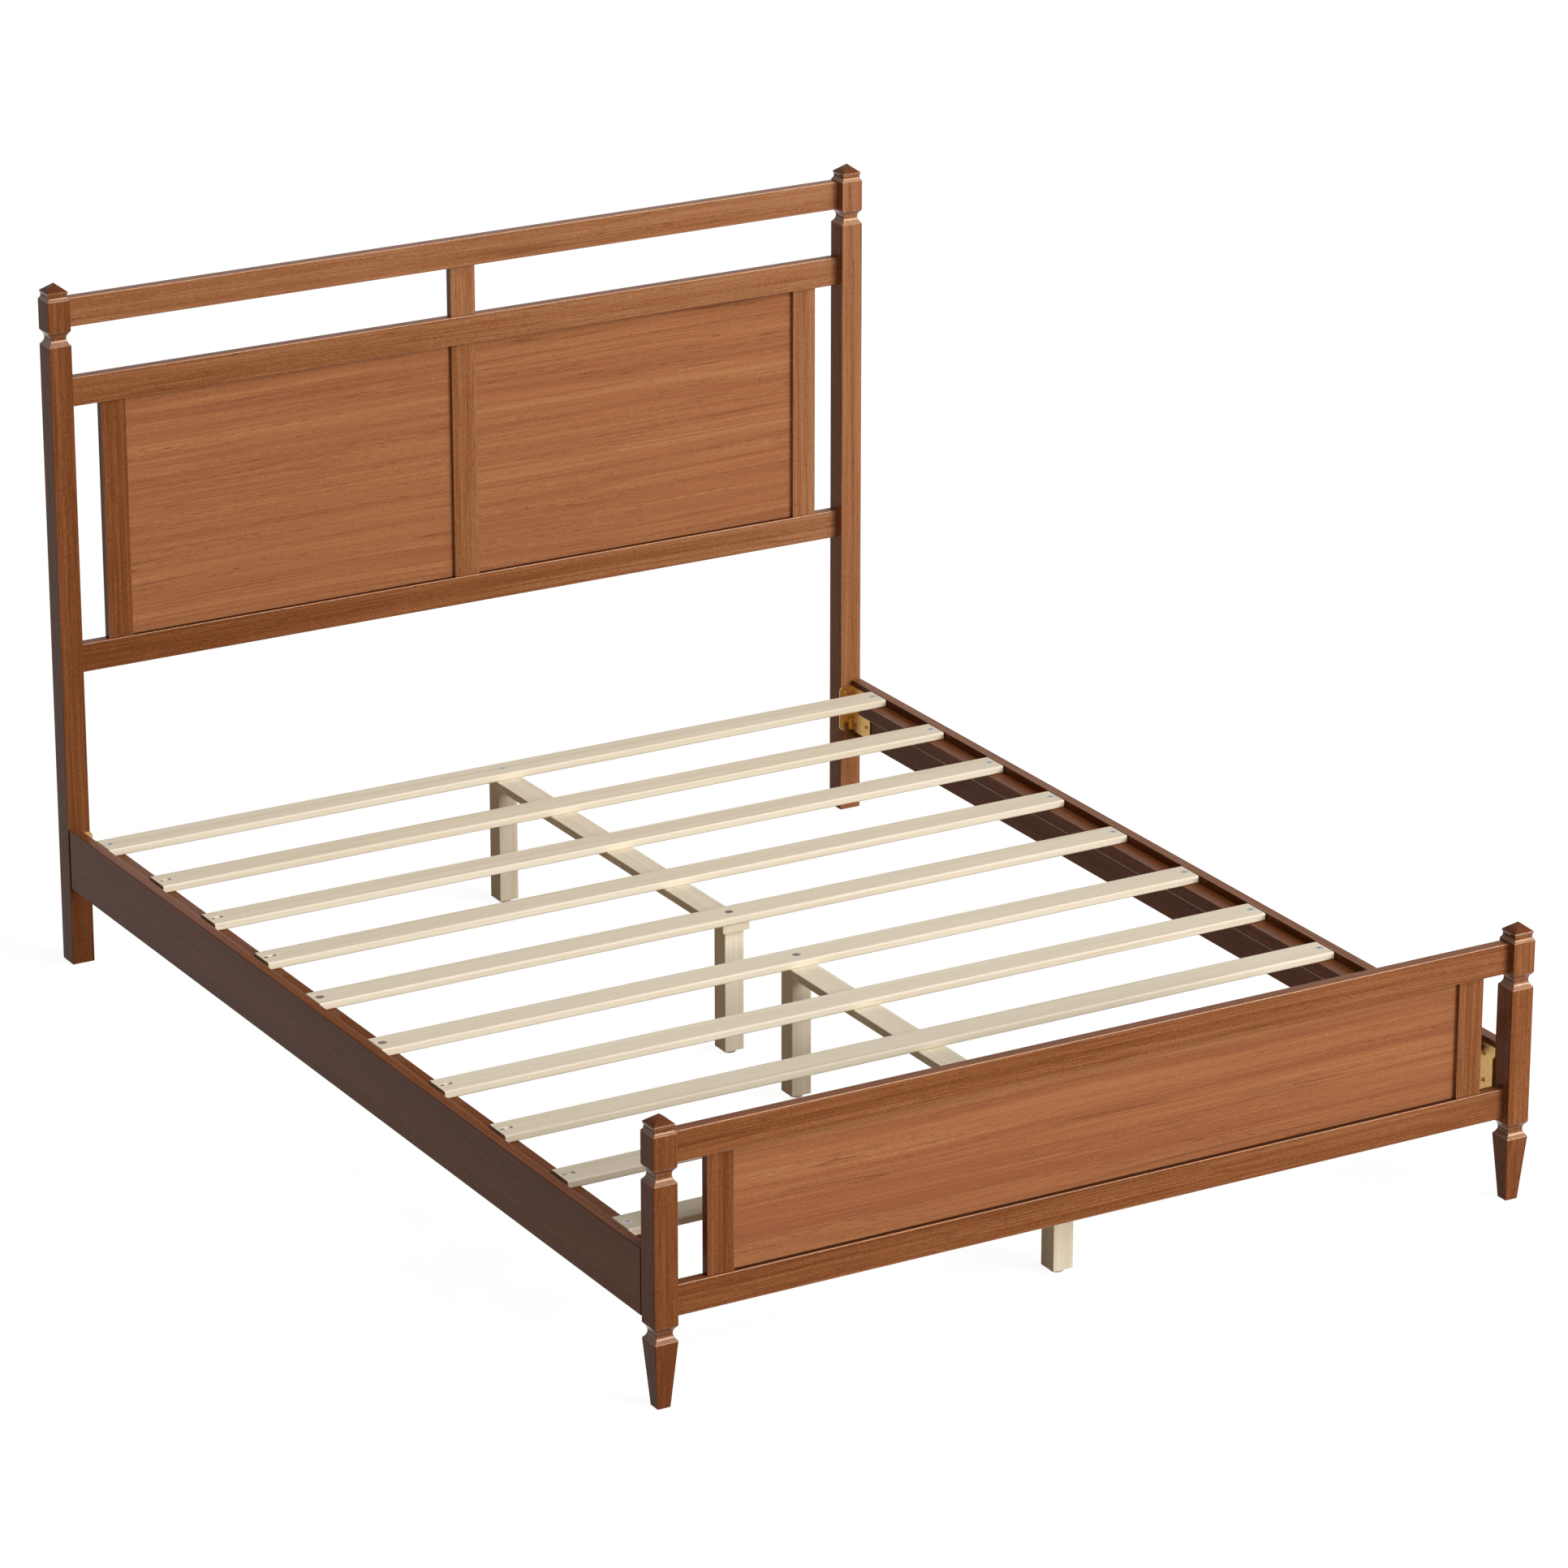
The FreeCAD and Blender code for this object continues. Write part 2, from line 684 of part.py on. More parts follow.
def side_rail(side):
    body = new_body(f"side_rail_{side_names[side]}")
    length = (bed_end - S.side_rail_end_gap) * 2
    stock(body, "XZ_Plane", S.side_rail_thickness, S.side_rail_height,
          S.side_rail_edge_radius, length)
    middle = S.side_rail_bottom + S.side_rail_height / 2
    face = -side * S.side_rail_thickness / 2
    outward = "+x" if side == RIGHT else "-x"
    bore = S.dowel_diameter + S.joint_clearance * 2
    depth = S.dowel_depth_in_rail + S.joint_relief
    for along in dowel_places():
        at = (face, along, cleat_middle - middle)
        cylinder(body, "Subtractive", "DowelBore", bore, depth, at, outward)
    pilot = S.bracket_screw_shank_diameter + S.joint_clearance * 2
    for end in (FOOT, HEAD):
        for along, up in bracket_screw_grid(end):
            at = (face, along, up - middle)
            cylinder(body, "Subtractive", "PilotBore", pilot, S.bracket_screw_length, at, outward)
    place(body, side * (side_rail_inner + S.side_rail_thickness / 2), ZERO, middle)


def cleat(side):
    body = new_body(f"cleat_{side_names[side]}")
    stock(body, "XZ_Plane", S.cleat_width, S.cleat_height, S.cleat_edge_radius, cleat_end * 2)
    face = side * S.cleat_width / 2
    inward = "-x" if side == RIGHT else "+x"
    bore = S.dowel_diameter + S.joint_clearance * 2
    depth = S.dowel_length - S.dowel_depth_in_rail + S.joint_relief
    for along in dowel_places():
        cylinder(body, "Subtractive", "DowelBore", bore, depth, (face, along, ZERO), inward)
    middle = cleat_inner + S.cleat_width / 2
    pilot = S.slat_screw_shank_diameter + S.joint_clearance * 2
    for number, along in enumerate(slat_places()):
        inset, length = end_screw(side, number)
        at = (side * (side_rail_inner - inset - middle), along, S.cleat_height / 2)
        cylinder(body, "Subtractive", "PilotBore", pilot, length, at, "-z")
    place(body, side * middle, ZERO, cleat_middle)


def cleat_dowels():
    dowel = Part.makeCylinder(S.dowel_diameter.value / 2, S.dowel_length.value)
    start = side_rail_inner + S.dowel_depth_in_rail
    places = []
    for side, towards in ((LEFT, "+x"), (RIGHT, "-x")):
        for along in dowel_places():
            places.append(((side * start, along, cleat_middle), towards))
    publish_group("cleat_dowels", dowel, places)


# Slats


def slat_places():
    """The slats' centre lines from the head to the foot, in two even groups."""
    head_group = [end_slat_y - slat_pitch * index for index in range(SLATS_PER_GROUP)]
    return head_group + [-along for along in reversed(head_group)]


def carries_leg(number):
    """The first and last slat of each group stand over a centre leg."""
    return number % SLATS_PER_GROUP in (0, SLATS_PER_GROUP - 1)


def end_screw(side, number):
    """Inset of a slat's end screw from the side rail, and its depth in the cleat."""
    if side == LEFT and not carries_leg(number):
        head_seat = S.slat_thickness - S.slot_depth
        return S.slot_screw_inset, S.slot_screw_length - head_seat + S.joint_relief
    return S.slat_screw_inset, S.slat_screw_length - S.slat_thickness + S.joint_relief


def screw_hole(body, at, head_diameter, shank_diameter):
    """A countersunk hole down through a slat."""
    bore = shank_diameter + S.joint_clearance * 2
    cylinder(body, "Subtractive", "ScrewHole", bore, S.slat_thickness, at, "-z")
    countersink(body, at, head_diameter, shank_diameter, S.slat_screw_head_height)


def open_slot(body, middle, left_end, top):
    """A stepped slot for the loose screw, its lower half open to the slat's end."""
    centre = -side_rail_inner + S.slot_screw_inset - middle
    inner = centre + S.slot_run
    half = S.slot_width / 2
    floor = top - S.slot_depth
    above = top + S.cut_overrun
    box(body, "Subtractive", "SlotTop", (centre, inner), (-half, half), (floor, above))
    depth = S.slot_depth + S.cut_overrun
    for end in (centre, inner):
        at = (end, ZERO, above)
        cylinder(body, "Subtractive", "SlotEnd", S.slot_width, depth, at, "-z")
    shank = S.shank_slot_width / 2
    outside = left_end - S.cut_overrun
    below = -top - S.cut_overrun
    box(body, "Subtractive", "ShankSlot", (outside, inner), (-shank, shank), (below, floor))
    through = S.slat_thickness - S.slot_depth + S.cut_overrun
    at = (inner, ZERO, floor)
    cylinder(body, "Subtractive", "ShankEnd", S.shank_slot_width, through, at, "-z")


def slat(number, along):
    body = new_body(f"slat_{number + 1:02d}")
    slotted = not carries_leg(number)
    left = -side_rail_inner + (S.slotted_slat_gap if slotted else S.slat_left_gap)
    right = side_rail_inner - S.slat_right_gap
    middle = (left + right) / 2
    top = S.slat_thickness / 2
    stock(body, "YZ_Plane", S.slat_width, S.slat_thickness, S.slat_edge_radius, right - left)
    head, shank = S.slat_screw_head_diameter, S.slat_screw_shank_diameter
    screw_hole(body, (side_rail_inner - S.slat_screw_inset - middle, ZERO, top), head, shank)
    if slotted:
        open_slot(body, middle, left - middle, top)
    else:
        screw_hole(body, (-side_rail_inner + S.slat_screw_inset - middle, ZERO, top), head, shank)
        screw_hole(body, (-middle, ZERO, top), head, S.centre_screw_shank_diameter)
    place(body, middle, along, slat_top - top)


# Centre support


def leg_places():
    return [along for number, along in enumerate(slat_places()) if carries_leg(number)]


def centre_rail(end):
    body = new_body(f"centre_rail_{end_names[end]}")
    reach = S.leg_size / 2 + S.centre_rail_overhang
    length = end_slat_y - S.inner_slat_offset + reach * 2
    middle = end * (end_slat_y + S.inner_slat_offset) / 2
    stock(body, "XZ_Plane", S.centre_rail_width, S.centre_rail_thickness,
          S.centre_rail_edge_radius, length)
    bore = S.centre_screw_shank_diameter + S.joint_clearance * 2
    for along in (end_slat_y, S.inner_slat_offset):
        at = (ZERO, end * along - middle, S.centre_rail_thickness / 2)
        cylinder(body, "Subtractive", "ScrewHole", bore, S.centre_rail_thickness, at, "-z")
    place(body, ZERO, middle, centre_rail_bottom + S.centre_rail_thickness / 2)


def centre_leg(number, along):
    body = new_body(f"centre_leg_{number + 1}")
    length = centre_rail_bottom - leg_bottom
    stock(body, "XY_Plane", S.leg_size, S.leg_size, S.leg_edge_radius, length)
    top, bottom = length / 2, -length / 2
    grip = S.joint_clearance * 2
    top_bore = S.top_insert_diameter + grip
    cylinder(body, "Subtractive", "TopInsertBore", top_bore, S.top_insert_length,
             (ZERO, ZERO, top), "-z")
    foot_bore = S.foot_insert_diameter + grip
    cylinder(body, "Subtractive", "FootInsertBore", foot_bore, S.foot_insert_length,
             (ZERO, ZERO, bottom), "+z")
    stud_bore = S.foot_stud_diameter + S.running_clearance * 2
    cylinder(body, "Subtractive", "StudBore", stud_bore, stud_reach + S.joint_relief,
             (ZERO, ZERO, bottom), "+z")
    place(body, ZERO, along, (centre_rail_bottom + leg_bottom) / 2)


def ring(outer_diameter, inner_diameter, length):
    outer = Part.makeCylinder(outer_diameter.value / 2, length.value)
    inner = Part.makeCylinder(inner_diameter.value / 2, length.value)
    return outer.cut(inner)


def leg_inserts():
    """Sleeves in each leg for the centre screw above and the levelling foot below."""
    screw_bore = S.centre_screw_shank_diameter + S.joint_clearance * 2
    top_sleeve = ring(S.top_insert_diameter, screw_bore, S.top_insert_length)
    stud_bore = S.foot_stud_diameter + S.running_clearance * 2
    foot_sleeve = ring(S.foot_insert_diameter, stud_bore, S.foot_insert_length)
    tops = [((ZERO, along, centre_rail_bottom), "-z") for along in leg_places()]
    bottoms = [((ZERO, along, leg_bottom), "+z") for along in leg_places()]
    publish_group("leg_top_inserts", top_sleeve, tops)
    publish_group("leg_foot_inserts", foot_sleeve, bottoms)


def levelling_foot(number, along):
    body = new_body(f"levelling_foot_{number + 1}")
    floor = (ZERO, ZERO, ZERO)
    cylinder(body, "Additive", "Disc", S.foot_disc_diameter, S.foot_disc_thickness, floor, "+z")
    length = S.foot_disc_thickness + stud_reach
    cylinder(body, "Additive", "Stud", S.foot_stud_diameter, length, floor, "+z")
    place(body, ZERO, along, ZERO)


# Hook-on brackets


def bracket_screw_grid(end):
    """Where a bracket's screws lie along the bed and above the floor."""
    grid = []
    for from_post in bracket_screw_y:
        for rise in bracket_screw_z:
            grid.append((end * (bed_end - from_post), bracket_bottom + rise))
    return grid


def hook_bracket(end, side):
    """An angle plate: one leg screwed to the side rail, the other hung on the post's pins."""
    body = new_body(f"hook_bracket_{end_names[end]}_{side_names[side]}")
    thickness = S.bracket_thickness
    up = (ZERO, S.bracket_height)

    def inward(low, high):
        return (low, high) if side == LEFT else (-high, -low)

    def lengthwise(low, high):
        return (low, high) if end == FOOT else (-high, -low)

    rail_leg = lengthwise(ZERO, S.bracket_rail_leg)
    post_leg = inward(ZERO, S.bracket_post_leg)
    box(body, "Additive", "RailLeg", inward(ZERO, thickness), rail_leg, up)
    box(body, "Additive", "PostLeg", post_leg, lengthwise(ZERO, thickness), up)
    round_corners(body, end, side)
    hook_openings(body, end, side, inward, lengthwise)
    bore = S.bracket_screw_shank_diameter + S.joint_clearance * 2
    outward = "-x" if side == RIGHT else "+x"
    for from_post in bracket_screw_y:
        for rise in bracket_screw_z:
            at = (ZERO, -end * from_post, rise)
            cylinder(body, "Subtractive", "ScrewHole", bore, thickness, at, outward)
    place(body, side * side_rail_inner, end * bed_end, bracket_bottom)


def round_corners(body, end, side):
    """Round the free corners of both legs."""
    doc.recompute()
    leg_x = -side * S.bracket_post_leg.value
    leg_y = -end * S.bracket_rail_leg.value
    names = []
    for index, edge in enumerate(body.Shape.Edges, start=1):
        points = [vertex.Point for vertex in edge.Vertexes]
        on_tip = all(
            math.isclose(point.x, leg_x) or math.isclose(point.y, leg_y) for point in points
        )
        if on_tip and math.isclose(edge.Length, S.bracket_thickness.value):
            names.append(f"Edge{index}")
    plate = body.Tip
    fillet = body.newObject("PartDesign::Fillet", "RoundCorners")
    fillet.Base = (plate, names)
    fillet.setExpression("Radius", S.bracket_corner_radius.formula)
    body.Tip = fillet
    doc.recompute()


def hook_openings(body, end, side, inward, lengthwise):
    """An open slot over the lower pin and a keyhole over the upper one."""
    half = S.hook_slot_width / 2
    plate = lengthwise(-S.cut_overrun, S.bracket_thickness + S.cut_overrun)
    through = S.bracket_thickness + S.cut_overrun * 2
    pin = -side * S.hook_pin_inset
    outside = end * S.cut_overrun
    towards = "-y" if end == HEAD else "+y"
    lower, upper = S.hook_pin_rise, S.hook_pin_rise + S.hook_pin_pitch
    key = upper - S.hook_key_drop
    across = inward(S.hook_pin_inset - half, S.hook_pin_inset + half)
    box(body, "Subtractive", "LowerSlot", across, plate, (-S.cut_overrun, lower))
    box(body, "Subtractive", "UpperSlot", across, plate, (key, upper))
    for diameter, rise in (
        (S.hook_slot_width, lower),
        (S.hook_slot_width, upper),
        (S.hook_key_diameter, key),
    ):
        at = (pin, outside, rise)
        cylinder(body, "Subtractive", "SlotEnd", diameter, through, at, towards)


def hook_pins():
    """Shouldered pins in the posts: bore end, neck through the plate, ring head."""
    neck = S.hook_pin_depth + S.bracket_thickness + S.hook_head_gap
    shank = Part.makeCylinder(S.hook_neck_diameter.value / 2, neck.value)
    above = FreeCAD.Vector(0, 0, neck.value)
    head = Part.makeCylinder(S.hook_head_diameter.value / 2, S.hook_head_height.value, above)
    top = neck + S.hook_head_height
    socket_base = FreeCAD.Vector(0, 0, (top - S.hook_socket_depth).value)
    socket_radius = S.hook_socket_diameter.value / 2
    socket = Part.makeCylinder(socket_radius, S.hook_socket_depth.value, socket_base)
    pin = shank.fuse(head).cut(socket).removeSplitter()
    places = []
    for end, towards in ((HEAD, "-y"), (FOOT, "+y")):
        for side in (LEFT, RIGHT):
            for pin_z in hook_pin_z:
                start = end * (bed_end + S.hook_pin_depth)
                places.append(((side * hook_pin_x, start, pin_z), towards))
    publish_group("hook_pins", pin, places)


# Screws


def cross_recess(head_diameter):
    """Two crossed bars, level with the origin, that are cut out of a screw's head."""
    span = head_diameter.value * RECESS_SPAN_SHARE
    arm, depth = S.recess_arm.value, S.recess_depth.value
    bars = []
    for length, width in ((span, arm), (arm, span)):
        corner = FreeCAD.Vector(-length / 2, -width / 2, -depth)
        bars.append(Part.makeBox(length, width, depth, corner))
    return bars[0].fuse(bars[1])


def flush_screw(shank_diameter, length):
    """A countersunk screw that hangs down from the origin."""
    shank, head = shank_diameter.value / 2, S.slat_screw_head_diameter.value / 2
    head_height = S.slat_screw_head_height.value
    cone_base = FreeCAD.Vector(0, 0, -head_height)
    cone = Part.makeCone(shank, head, head_height, cone_base)
    tip = FreeCAD.Vector(0, 0, -length.value)
    body = Part.makeCylinder(shank, length.value - head_height, tip)
    return cone.fuse(body).cut(cross_recess(S.slat_screw_head_diameter)).removeSplitter()


def flat_screw(head_diameter, head_height, shank_diameter, length):
    """A flat-headed screw: the head above the origin, the shank below it."""
    head = Part.makeCylinder(head_diameter.value / 2, head_height.value)
    tip = FreeCAD.Vector(0, 0, -length.value)
    shank = Part.makeCylinder(shank_diameter.value / 2, length.value, tip)
    recess = cross_recess(head_diameter)
    recess.translate(FreeCAD.Vector(0, 0, head_height.value))
    return head.fuse(shank).cut(recess).removeSplitter()


def slat_screws():
    flush, loose, centre = [], [], []
    slot_floor = slat_top - S.slot_depth
    for number, along in enumerate(slat_places()):
        flush.append(((side_rail_inner - S.slat_screw_inset, along, slat_top), "+z"))
        if carries_leg(number):
            flush.append(((-side_rail_inner + S.slat_screw_inset, along, slat_top), "+z"))
            centre.append(((ZERO, along, slat_top), "+z"))
        else:
            loose.append(((-side_rail_inner + S.slot_screw_inset, along, slot_floor), "+z"))
    end = flush_screw(S.slat_screw_shank_diameter, S.slat_screw_length)
    publish_group("slat_end_screws", end, flush)
    slot = flat_screw(S.slot_screw_head_diameter, S.slot_screw_head_height,
                      S.slat_screw_shank_diameter, S.slot_screw_length)
    publish_group("slat_slot_screws", slot, loose)
    middle = flush_screw(S.centre_screw_shank_diameter, S.centre_screw_length)
    publish_group("centre_screws", middle, centre)


def bracket_screws():
    screw = flat_screw(S.bracket_screw_head_diameter, S.bracket_screw_head_height,
                       S.bracket_screw_shank_diameter, S.bracket_screw_length)
    face = side_rail_inner - S.bracket_thickness
    places = []
    for side, towards in ((LEFT, "+x"), (RIGHT, "-x")):
        for end in (FOOT, HEAD):
            for along, up in bracket_screw_grid(end):
                places.append(((side * face, along, up), towards))
    publish_group("bracket_screws", screw, places)


def build():
    headboard()
    footboard()
    for side in (LEFT, RIGHT):
        side_rail(side)
        cleat(side)
    cleat_dowels()
    for number, along in enumerate(slat_places()):
        slat(number, along)
    for end in (HEAD, FOOT):
        centre_rail(end)
        for side in (LEFT, RIGHT):
            hook_bracket(end, side)
    for number, along in enumerate(leg_places()):
        centre_leg(number, along)
        levelling_foot(number, along)
    leg_inserts()
    hook_pins()
    slat_screws()
    bracket_screws()
    doc.recompute()


def check():
    """Stop before anything is written if a feature failed or a piece isn't sound."""
    for item in doc.Objects:
        if "Invalid" in item.State or "Error" in item.State:
            raise ValueError(f"{item.Label} failed: {item.State}")
    for piece in subparts:
        if piece.Shape.isNull() or not piece.Shape.isValid():
            raise ValueError(f"{piece.Label} has no valid shape")


def write():
    os.makedirs("parts", exist_ok=True)
    for piece in subparts:
        piece.Shape.exportStep(f"parts/{piece.Label}.step")


build()
check()
write()
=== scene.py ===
import math

import bmesh
import bpy
from mathutils import Matrix, Vector


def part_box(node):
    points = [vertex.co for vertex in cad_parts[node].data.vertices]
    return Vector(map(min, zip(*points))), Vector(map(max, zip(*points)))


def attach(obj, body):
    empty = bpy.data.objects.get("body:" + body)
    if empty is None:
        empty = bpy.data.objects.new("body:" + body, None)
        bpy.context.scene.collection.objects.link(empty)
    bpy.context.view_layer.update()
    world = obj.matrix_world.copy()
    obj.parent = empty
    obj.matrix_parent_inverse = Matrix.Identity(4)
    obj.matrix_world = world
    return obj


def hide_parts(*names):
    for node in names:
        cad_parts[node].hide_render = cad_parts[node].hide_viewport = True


bl_info = {
    "name": "Platform bed",
    "version": (1, 0, 0),
    "blender": (4, 5, 0),
    "location": "View3D > Sidebar > Platform bed",
    "description": "Finishes the pieces of a panelled platform bed around its packed solids",
    "category": "Object",
}

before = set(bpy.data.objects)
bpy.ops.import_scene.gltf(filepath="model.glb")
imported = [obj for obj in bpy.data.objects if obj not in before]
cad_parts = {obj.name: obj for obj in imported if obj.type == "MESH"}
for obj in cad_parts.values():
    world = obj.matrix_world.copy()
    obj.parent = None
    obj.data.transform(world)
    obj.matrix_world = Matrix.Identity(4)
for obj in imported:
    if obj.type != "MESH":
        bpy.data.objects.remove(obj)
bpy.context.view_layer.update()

FRAME_BODY = "bed_frame"
X, Y, Z = 0, 1, 2
SIDES = ("left", "right")
ENDS = ("head", "foot")
SLATS = [f"slat_{number:02d}" for number in range(1, 11)]
LEG_SLATS = ("slat_01", "slat_05", "slat_06", "slat_10")
FEET = [f"levelling_foot_{number}" for number in range(1, 5)]
LEGS = [f"centre_leg_{number}" for number in range(1, 5)]
BOARD_RAILS = {
    "headboard": ("top", "middle", "bottom"),
    "footboard": ("top", "bottom"),
}
# The fields between the rails: board, rail below and rail above
HEAD_TOP = ("headboard", "middle", "top")
HEAD_FIELD = ("headboard", "bottom", "middle")
FOOT_FIELD = ("footboard", "bottom", "top")
STILES = {
    "headboard_short_stile": HEAD_TOP,
    "headboard_mullion": HEAD_FIELD,
    "headboard_stile_left": HEAD_FIELD,
    "headboard_stile_right": HEAD_FIELD,
    "footboard_stile_left": FOOT_FIELD,
    "footboard_stile_right": FOOT_FIELD,
}
PANELS = {
    "headboard_panel_left": HEAD_FIELD,
    "headboard_panel_right": HEAD_FIELD,
    "footboard_panel": FOOT_FIELD,
}
SCREW_GROUPS = {"end": "slat_end_screws", "centre": "centre_screws", "slot": "slat_slot_screws"}
FITTING_FINISHES = {
    "gold_plate": (
        *(f"hook_bracket_{end}_{side}" for end in ENDS for side in SIDES),
        "hook_pins", "bracket_screws"),
    "zinc_plate": ("leg_top_inserts", "leg_foot_inserts"),
    "dowel_wood": ("cleat_dowels",),
}

# Material index of rounded edges and mouldings, where the lacquer is rubbed to a higher gloss
EDGE = 1
# A face or edge counts as square to an axis above this cosine
SQUARE = 0.999
# A post's face that leans more than this is part of a moulding
MOULDED = 0.12
# Places closer than this are the same, and a cut goes through points this near to it
NEAR = 1e-5
CUT_REACH = NEAR / 10
ROUND_STEPS = 4
ARRIS_STEPS = 2
COVE_STEPS = 8
TURNED_STEPS = 32
ROUND_PROFILE = 0.5
SHARP_ANGLE = math.radians(24)
# Rise and setback of the points on a foot's rounded rim, in edge radii
FOOT_RIM = ((0.0, 2.0), (0.5, 0.6), (2.0, 0.0))
# A screw's tip as a share of its shank, and its recess as a share of its head
TIP_SHARE = 0.25
RECESS_SPAN_SHARE = 0.6


# Sizes and colours that a user may change


def length(name, description, default):
    return bpy.props.FloatProperty(
        name=name, description=description, default=default, min=0.0, precision=4,
        subtype="DISTANCE", unit="LENGTH")


def tone(name, description, default):
    return bpy.props.FloatVectorProperty(
        name=name, description=description, default=default, min=0.0, max=1.0, size=3,
        subtype="COLOR")


def share(name, description, default):
    return bpy.props.FloatProperty(
        name=name, description=description, default=default, min=0.0, max=1.0,
        subtype="FACTOR")


def amount(name, description, default, unit="NONE"):
    return bpy.props.FloatProperty(
        name=name, description=description, default=default, min=0.0, unit=unit)


def angle(name, description, default):
    return bpy.props.FloatProperty(
        name=name, description=description, default=math.radians(default),
        subtype="ANGLE", unit="ROTATION")


class PlatformBedSizes(bpy.types.PropertyGroup):
    """Lengths of the finished pieces, in metres"""

    post_corner: length("Post corner", "Radius of a post's four long edges", 0.0008)
    post_arris: length("Post arris", "Bevel on the edges round caps and necks", 0.0006)
    cap_height: length("Cap height", "Height of the pyramid on a post", 0.0143)
    cap_setback: length("Cap setback", "How far the cap stays inside the post", 0.002)
    cap_rim: length("Cap rim", "Height of the upright rim under the pyramid", 0.0018)
    cap_cove_height: length("Cap cove height", "Height of the hollow under the rim", 0.013)
    cap_cove_radius: length("Cap cove radius", "Radius of the hollow under the rim", 0.010)
    block_height: length("Block height", "Height of the block between cap and neck", 0.0537)
    neck_chamfer_height: length("Neck chamfer height", "Height of the bevel above a neck", 0.0032)
    neck_chamfer_depth: length("Neck chamfer depth", "Depth of the bevel above a neck", 0.0022)
    neck_cove_height: length("Neck cove height", "Height of a neck's hollow", 0.0095)
    neck_cove_radius: length("Neck cove radius", "Radius of a neck's hollow", 0.013)
    neck_depth: length("Neck depth", "How far a neck is cut into the post", 0.0063)
    neck_flat: length("Neck flat", "Upright part at the waist of a neck", 0.0015)
    neck_flare_height: length("Neck flare height", "Height of the flare under the waist", 0.0112)
    neck_flare_radius: length("Neck flare radius", "Radius of the flare's hollow", 0.018)
    foot_neck_top: length("Foot neck top", "Height of the neck over a tapered foot", 0.1352)
    toe_width: length("Toe width", "Width of a tapered foot at the floor", 0.0225)
    rail_edge: length("Rail edge", "Round-over of the boards' rails", 0.0015)
    stile_edge: length("Stile edge", "Round-over of stiles and mullion", 0.001)
    panel_edge: length("Panel edge", "Softening of a panel's rim", 0.0005)
    side_rail_edge: length("Side rail edge", "Round-over of the side rails", 0.0012)
    side_rail_end: length("Side rail end", "Length of the bevel round a side rail's ends", 0.0045)
    side_rail_end_depth: length("Side rail end depth", "Depth of that bevel", 0.0025)
    cleat_edge: length("Cleat edge", "Round-over of the cleats", 0.0015)
    slat_edge: length("Slat edge", "Round-over of a slat's long edges", 0.003)
    centre_edge: length("Centre edge", "Round-over of centre rails and legs", 0.0015)
    end_edge: length("End edge", "Softening of a sawn end", 0.0006)
    tenon_length: length("Tenon length", "How far a rail goes into a post", 0.024)
    tenon_thickness: length("Tenon thickness", "Thickness of a rail's tenon", 0.009)
    tenon_shoulder: length("Tenon shoulder", "Shoulder above and below a tenon", 0.010)
    stile_tenon_length: length("Stile tenon length", "How far a stile goes into a rail", 0.015)
    stile_tenon_thickness: length("Stile tenon thickness", "Thickness of a stile's tenon", 0.008)
    gap_lip: length("Gap lip", "Rail left standing before the corner under a panel", 0.0018)
    gap_depth: length("Gap depth", "Depth of the corner in front of a panel's foot", 0.0006)
    joint_play: length("Joint play", "Room round a tenon, tongue or screw", 0.0001)
    slot_width: length("Slot width", "Width of the stepped slot in a slat", 0.0104)
    slot_run: length("Slot run", "Travel of the screw in a slat's slot", 0.012)
    slot_depth: length("Slot depth", "Depth of the slot's upper step", 0.0032)
    shank_slot_width: length("Shank slot width", "Width of the slot's lower step", 0.0054)
    screw_inset: length("Screw inset", "End screw to the side rail's face", 0.014)
    slot_screw_inset: length("Slot screw inset", "Slot screw to the side rail's face", 0.0165)
    screw_head: length("Screw head", "Diameter of the flush screws", 0.015)
    screw_head_height: length("Screw head height", "Depth of the flush screws' cone", 0.004)
    screw_shank: length("Screw shank", "Diameter of the slats' screws", 0.005)
    centre_screw_shank: length("Centre screw shank", "Diameter of the centre screws", 0.006)
    slot_screw_head: length("Slot screw head", "Diameter of the slot screws' heads", 0.0096)
    slot_screw_head_height: length("Slot screw head height", "Height of these heads", 0.0026)
    recess_arm: length("Recess arm", "Width of an arm of the cross recess", 0.0012)
    recess_depth: length("Recess depth", "Depth of the cross recess", 0.0016)
    foot_disc: length("Foot disc", "Diameter of a levelling foot", 0.022)
    foot_disc_height: length("Foot disc height", "Height of a levelling foot's disc", 0.0068)
    foot_stud: length("Foot stud", "Diameter of a levelling foot's stud", 0.008)
    foot_bore: length("Foot bore", "Diameter of the sleeve under a leg", 0.013)
    foot_bore_depth: length("Foot bore depth", "Length of the sleeve under a leg", 0.015)


